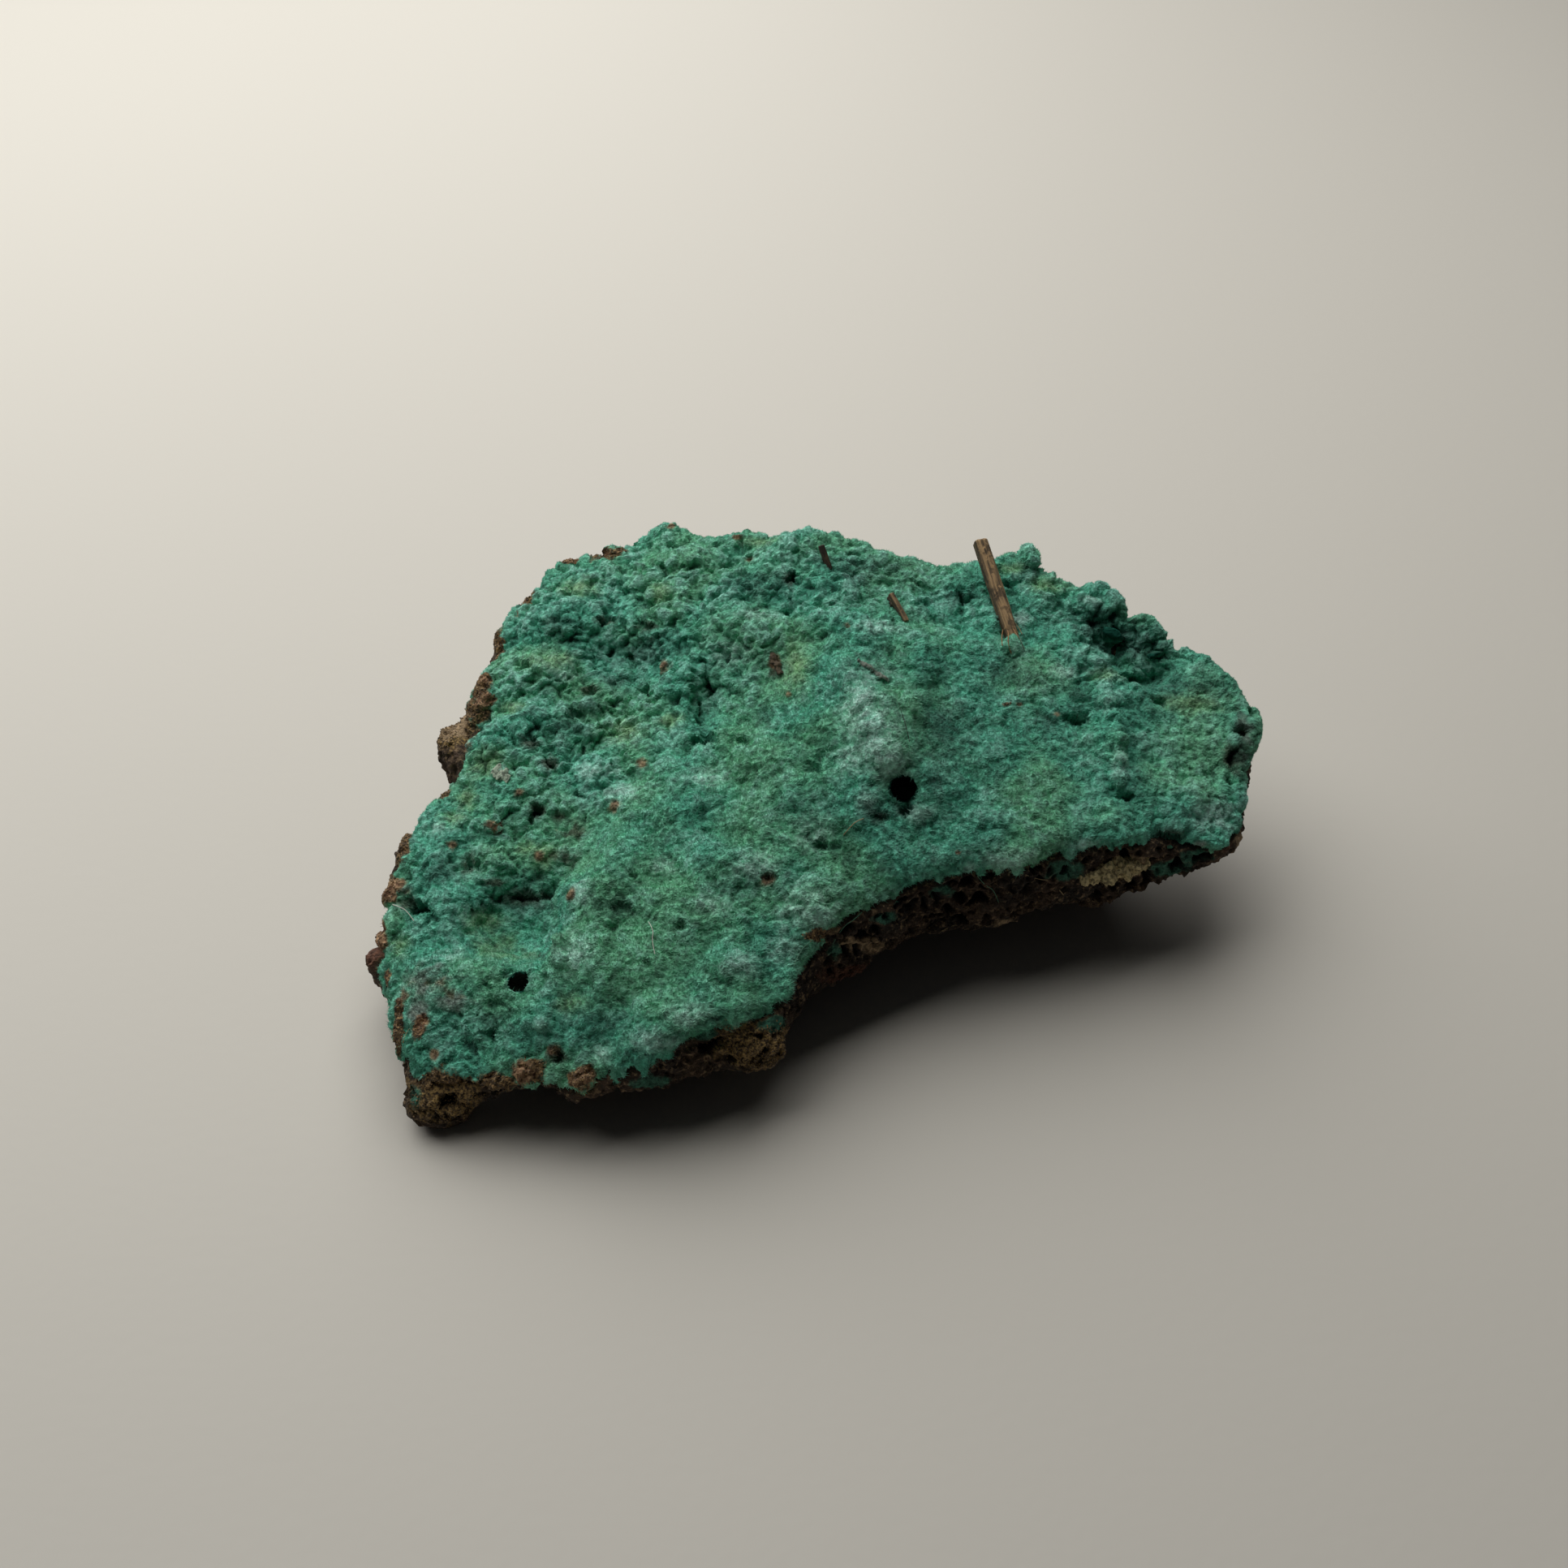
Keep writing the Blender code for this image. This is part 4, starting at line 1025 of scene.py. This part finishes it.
# The crumbs
# Where the gossan lies bare its surface is loose and granular, with crumbs of iron oxide that glint golden.
# A node tree sows small angular crumbs on the bare ground of the crust and of the matrix.
CRUMB_SIZES = {"Crumbs A Square Metre": 24.0e6, "Crumb Size": 0.13, "Seed": 21.0}
CRUMB_BROWN = (0.055, 0.036, 0.016, 1)
CRUMB_GOLD = (0.310, 0.205, 0.085, 1)
crumb_tree, given = shape_tree("stony_crumbs", CRUMB_SIZES)
loose = times(given["Crumbs A Square Metre"], attribute_in(crumb_tree, "crumbly"))
seed = calculate("ROUND", given["Seed"])
sown = sow(crumb_tree, given, loose, seed)
radius = times(given["Crumb Size"], MM / 2)
crumb = add_node(crumb_tree, "GeometryNodeMeshIcoSphere", {"Radius": radius, "Subdivisions": 1})
angles = random_vector(crumb_tree, (0.0, 0.0, 0.0), (math.tau, math.tau, math.tau), seed)
turned = add_node(crumb_tree, "FunctionNodeEulerToRotation", {0: angles}).outputs[0]
uneven = random_vector(crumb_tree, (0.4, 0.4, 0.4), (1.5, 1.3, 1.1), seed)
finish_sowing(crumb_tree, given, sown["Points"], crumb.outputs["Mesh"], turned, uneven)

crumb_material, tree, shader = new_material("golden_crumbs", 0.45)
mottle = noise_of(object_place(tree), 0.2, detail=1.0)
crumb_colour = mix_colour(ramp_between(mottle, 0.4, 0.62), CRUMB_BROWN, CRUMB_GOLD)
tree.links.new(crumb_colour, shader.inputs["Base Color"])

for ground, patch in ((crust, "bare"), (matrix, "golden")):
    crumbs = new_piece("crumbs_on_" + ground.name, ground.data.copy())
    loose = smooth_step(0.0, 0.35, read_layer(crumbs.data, patch))
    store(crumbs.data, "crumbly", loose * read_layer(crumbs.data, "outer"))
    grow(crumbs, crumb_tree, crumb_material)
    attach(crumbs, "root")

# The splinters
# Three slips of weathered wood caught in the crust. Their fibres run lengthwise, edges and ends are dark.
# Each is its packed stick with a fine skin, grooved along its length.
WOOD_VOXELS = {"long_splinter": 0.06 * MM, "short_splinter": 0.03 * MM, "thorn": 0.03 * MM}
WOOD_DARKNESS = {"long_splinter": 0.0, "short_splinter": 0.3, "thorn": 0.85}
GROOVE_SHARE = 0.11
WOOD_BROWN = (0.075, 0.053, 0.030, 1)
WOOD_TAN = (0.440, 0.290, 0.145, 1)
WOOD_PALE = (0.500, 0.320, 0.150, 1)
WOOD_BLOTCH = (0.035, 0.025, 0.016, 1)
WOOD_EDGE = (0.012, 0.009, 0.006, 1)

wood_material, tree, shader = new_material("weathered_wood", 0.85)
grain_place = add_node(tree, "ShaderNodeAttribute", attribute_name="grain_place").outputs["Vector"]
streak = noise_of(grain_place, 1.0, detail=4.0)
place = object_place(tree)
fleck = noise_of(place, 0.22, detail=3.0)
blotch = noise_of(place, 0.6, detail=3.0)
wood = mix_colour(ramp_between(streak, 0.35, 0.65), WOOD_BROWN, WOOD_TAN)
wood = mix_colour(ramp_between(fleck, 0.55, 0.7), wood, WOOD_PALE)
wood = mix_colour(times(ramp_between(blotch, 0.52, 0.64), 0.65), wood, WOOD_BLOTCH)
wood = mix_colour(surface_value(tree, "dark_edge"), wood, WOOD_EDGE)
tree.links.new(wood, shader.inputs["Base Color"])
add_bump(tree, shader, streak, 0.8, 0.08 * MM)

for name, voxel in WOOD_VOXELS.items():
    stick = new_piece(name + "_wood", tidy_copy(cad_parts[name]))
    skin(stick, voxel, 3)
    points = read(stick.data, "co")
    normals = read(stick.data, "normal")
    middle = points.mean(0)
    _, _, axes = np.linalg.svd(points[::7] - middle, full_matrices=False)
    axis = axes[0] if axes[0][2] > 0 else -axes[0]
    side = axes[1]
    back = np.cross(axis, side)
    local = (points - middle) @ np.column_stack([side, back, axis])
    half = np.abs(local).max(0)
    share = local / half
    layer = stick.data.attributes.new("grain_place", "FLOAT_VECTOR", "POINT")
    grain_points = local / MM * np.array((7.0, 7.0, 0.55)) + len(name)
    layer.data.foreach_set("vector", grain_points.astype(np.float32).ravel())
    grooves = np.sin(share[:, 0] * 9 + 1.5 * np.sin(share[:, 2] * 2.1))
    grooves *= np.sin(share[:, 1] * 7 + share[:, 2] * 1.3)
    points += normals * (grooves * GROOVE_SHARE * half[1] * 0.5)[:, None]
    write(stick.data, points)
    rim = smooth_step(0.62, 0.95, np.abs(share[:, 0])) * 0.7 * (share[:, 0] > 0)
    cap = smooth_step(0.94, 0.985, share[:, 2]) * 0.75
    store(stick.data, "dark_edge", np.maximum(np.maximum(rim, cap), WOOD_DARKNESS[name]))
    stick.data.materials.clear()
    stick.data.materials.append(wood_material)
    stick.data.shade_smooth()
    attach(stick, "root")
    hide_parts(name)

# The lint and the fibres
# Fine threads and hairs have caught on the crust and hang about its front rim,
# and torn fibres of wood fray out at the long splinter's foot.
WHITE = (0.62, 0.60, 0.55, 1)
STRAW = (0.42, 0.33, 0.18, 1)
BLACK = (0.012, 0.022, 0.016, 1)
RUSTY = (0.30, 0.15, 0.06, 1)
GREEN = (0.10, 0.26, 0.17, 1)

# Name, colour, thickness in millimetres, then the pixels that the thread passes and its lift there.
THREADS = [
    ("white_lint", WHITE, 0.05,
     (484, 1116, 0.1), (493, 1122, 0.35), (503, 1127, 0.3), (510, 1136, 0.1)),
    ("tan_lint", STRAW, 0.055,
     (1039, 1030, 0.05), (1047, 1024, 0.3), (1055, 1016, 0.3), (1064, 1010, 0.1)),
    ("pale_lint", WHITE, 0.04,
     (799, 1137, 0.1), (806, 1150, 0.3), (803, 1163, 0.3), (807, 1177, 0.1)),
    ("dark_hair", BLACK, 0.06,
     (1108, 870, 0.05), (1114, 890, 0.2), (1119, 910, 0.2), (1124, 930, 0.05)),
    ("hanging_thread", STRAW, 0.035,
     (505, 1268, 0.1), (497, 1283, 0.3), (499, 1297, 0.3), (507, 1304, 0.1)),
    ("fibre_1", RUSTY, 0.07,
     (1240, 776, 0.3), (1243, 786, 0.3), (1241, 796, 0.2), (1246, 806, 0.05)),
    ("fibre_2", RUSTY, 0.06,
     (1246, 776, 0.3), (1251, 785, 0.35), (1258, 793, 0.2), (1262, 801, 0.05)),
    ("fibre_3", RUSTY, 0.06,
     (1236, 778, 0.3), (1233, 788, 0.3), (1235, 797, 0.1)),
    ("fibre_4", STRAW, 0.05,
     (1243, 770, 0.5), (1252, 776, 0.6), (1259, 786, 0.3)),
    ("green_fibre_1", GREEN, 0.05,
     (1012, 1160, 0.5), (1000, 1172, 0.9), (985, 1180, 0.6), (978, 1194, 0.2)),
    ("green_fibre_2", GREEN, 0.05,
     (1062, 1128, 0.3), (1052, 1144, 0.7), (1038, 1150, 0.6), (1026, 1166, 0.2)),
    ("green_fibre_3", GREEN, 0.045,
     (1204, 1082, 0.2), (1212, 1098, 0.5), (1226, 1104, 0.5), (1232, 1120, 0.1)),
    ("tan_fibre_1", STRAW, 0.045,
     (1262, 1080, 0.2), (1276, 1092, 0.6), (1296, 1092, 0.5), (1310, 1104, 0.1)),
    ("tan_fibre_2", STRAW, 0.045,
     (1160, 1150, 0.2), (1172, 1162, 0.5), (1190, 1158, 0.5), (1204, 1140, 0.1)),
]
laid_surface = surface_tree(crust, matrix)


def plain_material(name, colour, roughness):
    material, _, shader = new_material(name, roughness)
    shader.inputs["Base Color"].default_value = colour
    return material


def thread(name, thickness, path, material):
    """A fine round thread that passes over the pixels of a path, each lifted off the surface there."""
    curve = bpy.data.curves.new(name, "CURVE")
    curve.dimensions = "3D"
    curve.bevel_depth = thickness * MM / 2
    curve.bevel_resolution = 1
    curve.use_fill_caps = True
    spline = curve.splines.new("NURBS")
    spline.points.add(len(path) - 1)
    for point, (u, v, lift) in zip(spline.points, path):
        at = seen_at(u, v, laid_surface) + np.array((0, 0, lift * MM))
        point.co = (*at, 1.0)
    spline.order_u = 3
    spline.use_endpoint_u = True
    spline.resolution_u = 6
    strand = new_piece(name, curve)
    bpy.context.view_layer.update()
    mesh = bpy.data.meshes.new_from_object(strand.evaluated_get(bpy.context.evaluated_depsgraph_get()))
    bpy.data.objects.remove(strand)
    strand = new_piece(name, mesh)
    mesh.materials.clear()
    mesh.materials.append(material)
    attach(strand, "root")


for name, colour, thickness, *path in THREADS:
    thread(name, thickness, path, plain_material(name, colour, 0.7))

# The flake and the slivers
# A pale flake and slips of bark lie on the green ground, and a tan ledge stands out under its rim.
# Each is a small uneven plate, laid on the surface between its two ends.

# Colour, the pixels of the two ends, then width and thickness in millimetres.
PLATES = {
    "pale_flake": ((0.40, 0.50, 0.38, 1), (606, 952), (629, 959), 0.95, 0.16),
    "grey_streak": ((0.27, 0.31, 0.26, 1), (1056, 814), (1094, 840), 0.35, 0.2),
    "bark_slip": ((0.055, 0.04, 0.024, 1), (1095, 737), (1106, 750), 0.4, 0.3),
    "tan_ledge": ((0.64, 0.53, 0.28, 1), (1330, 1084), (1414, 1061), 1.3, 0.8),
    "bark_chip": ((0.10, 0.07, 0.04, 1), (950, 806), (962, 832), 0.5, 0.3),
}
SLIP_RINGS = 33
SLIP_CORNERS = 24


def plate(name, start, end, width, thickness, material):
    """A thin broken slip, tapered at both ends, that lies on the surface from one pixel to another."""
    first, last = Vector(seen_at(*start, laid_surface)), Vector(seen_at(*end, laid_surface))
    along = last - first
    _, up, _, _ = laid_surface.find_nearest((first + last) / 2)
    up = (up + Vector((0, 0, 1))).normalized()
    across = up.cross(along).normalized()
    up = along.normalized().cross(across)
    work = bmesh.new()
    rings = []
    for step in range(SLIP_RINGS):
        share = step / (SLIP_RINGS - 1)
        taper = math.sin(math.pi * (0.12 + 0.76 * share)) ** 0.6
        sway = noise.noise(Vector((share * 4.0, 2.0, len(name))))
        middle = first + along * share + up * MM * (0.1 + 0.12 * sway) + across * MM * 0.25 * width * sway
        ring = []
        for corner in range(SLIP_CORNERS):
            angle = math.tau * corner / SLIP_CORNERS
            flat = (across * math.cos(angle) * width + up * math.sin(angle) * thickness) * taper * MM / 2
            torn = 1.0 + 0.9 * noise.noise((middle + flat) / (0.45 * MM))
            torn += 0.4 * noise.noise((middle + flat) / (0.15 * MM))
            ring.append(work.verts.new(middle + flat * torn))
        rings.append(ring)
    for one, other in zip(rings, rings[1:]):
        for corner in range(SLIP_CORNERS):
            after = (corner + 1) % SLIP_CORNERS
            work.faces.new((one[corner], one[after], other[after], other[corner]))
    work.faces.new(rings[0])
    work.faces.new(rings[-1])
    bmesh.ops.recalc_face_normals(work, faces=work.faces)
    mesh = bpy.data.meshes.new(name)
    work.to_mesh(mesh)
    work.free()
    mesh.materials.append(material)
    slip = new_piece(name, mesh)
    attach(slip, "root")


for name, (colour, start, end, width, thickness) in PLATES.items():
    material, tree, shader = new_material(name, 0.85)
    speckle = noise_of(object_place(tree), 0.2, detail=3.0)
    dark_side = tuple(0.35 * part for part in colour[:3]) + (1,)
    mixed = mix_colour(ramp_between(speckle, 0.38, 0.6), dark_side, colour)
    tree.links.new(mixed, shader.inputs["Base Color"])
    add_bump(tree, shader, speckle, 0.8, 0.1 * MM)
    plate(name, start, end, width, thickness, material)
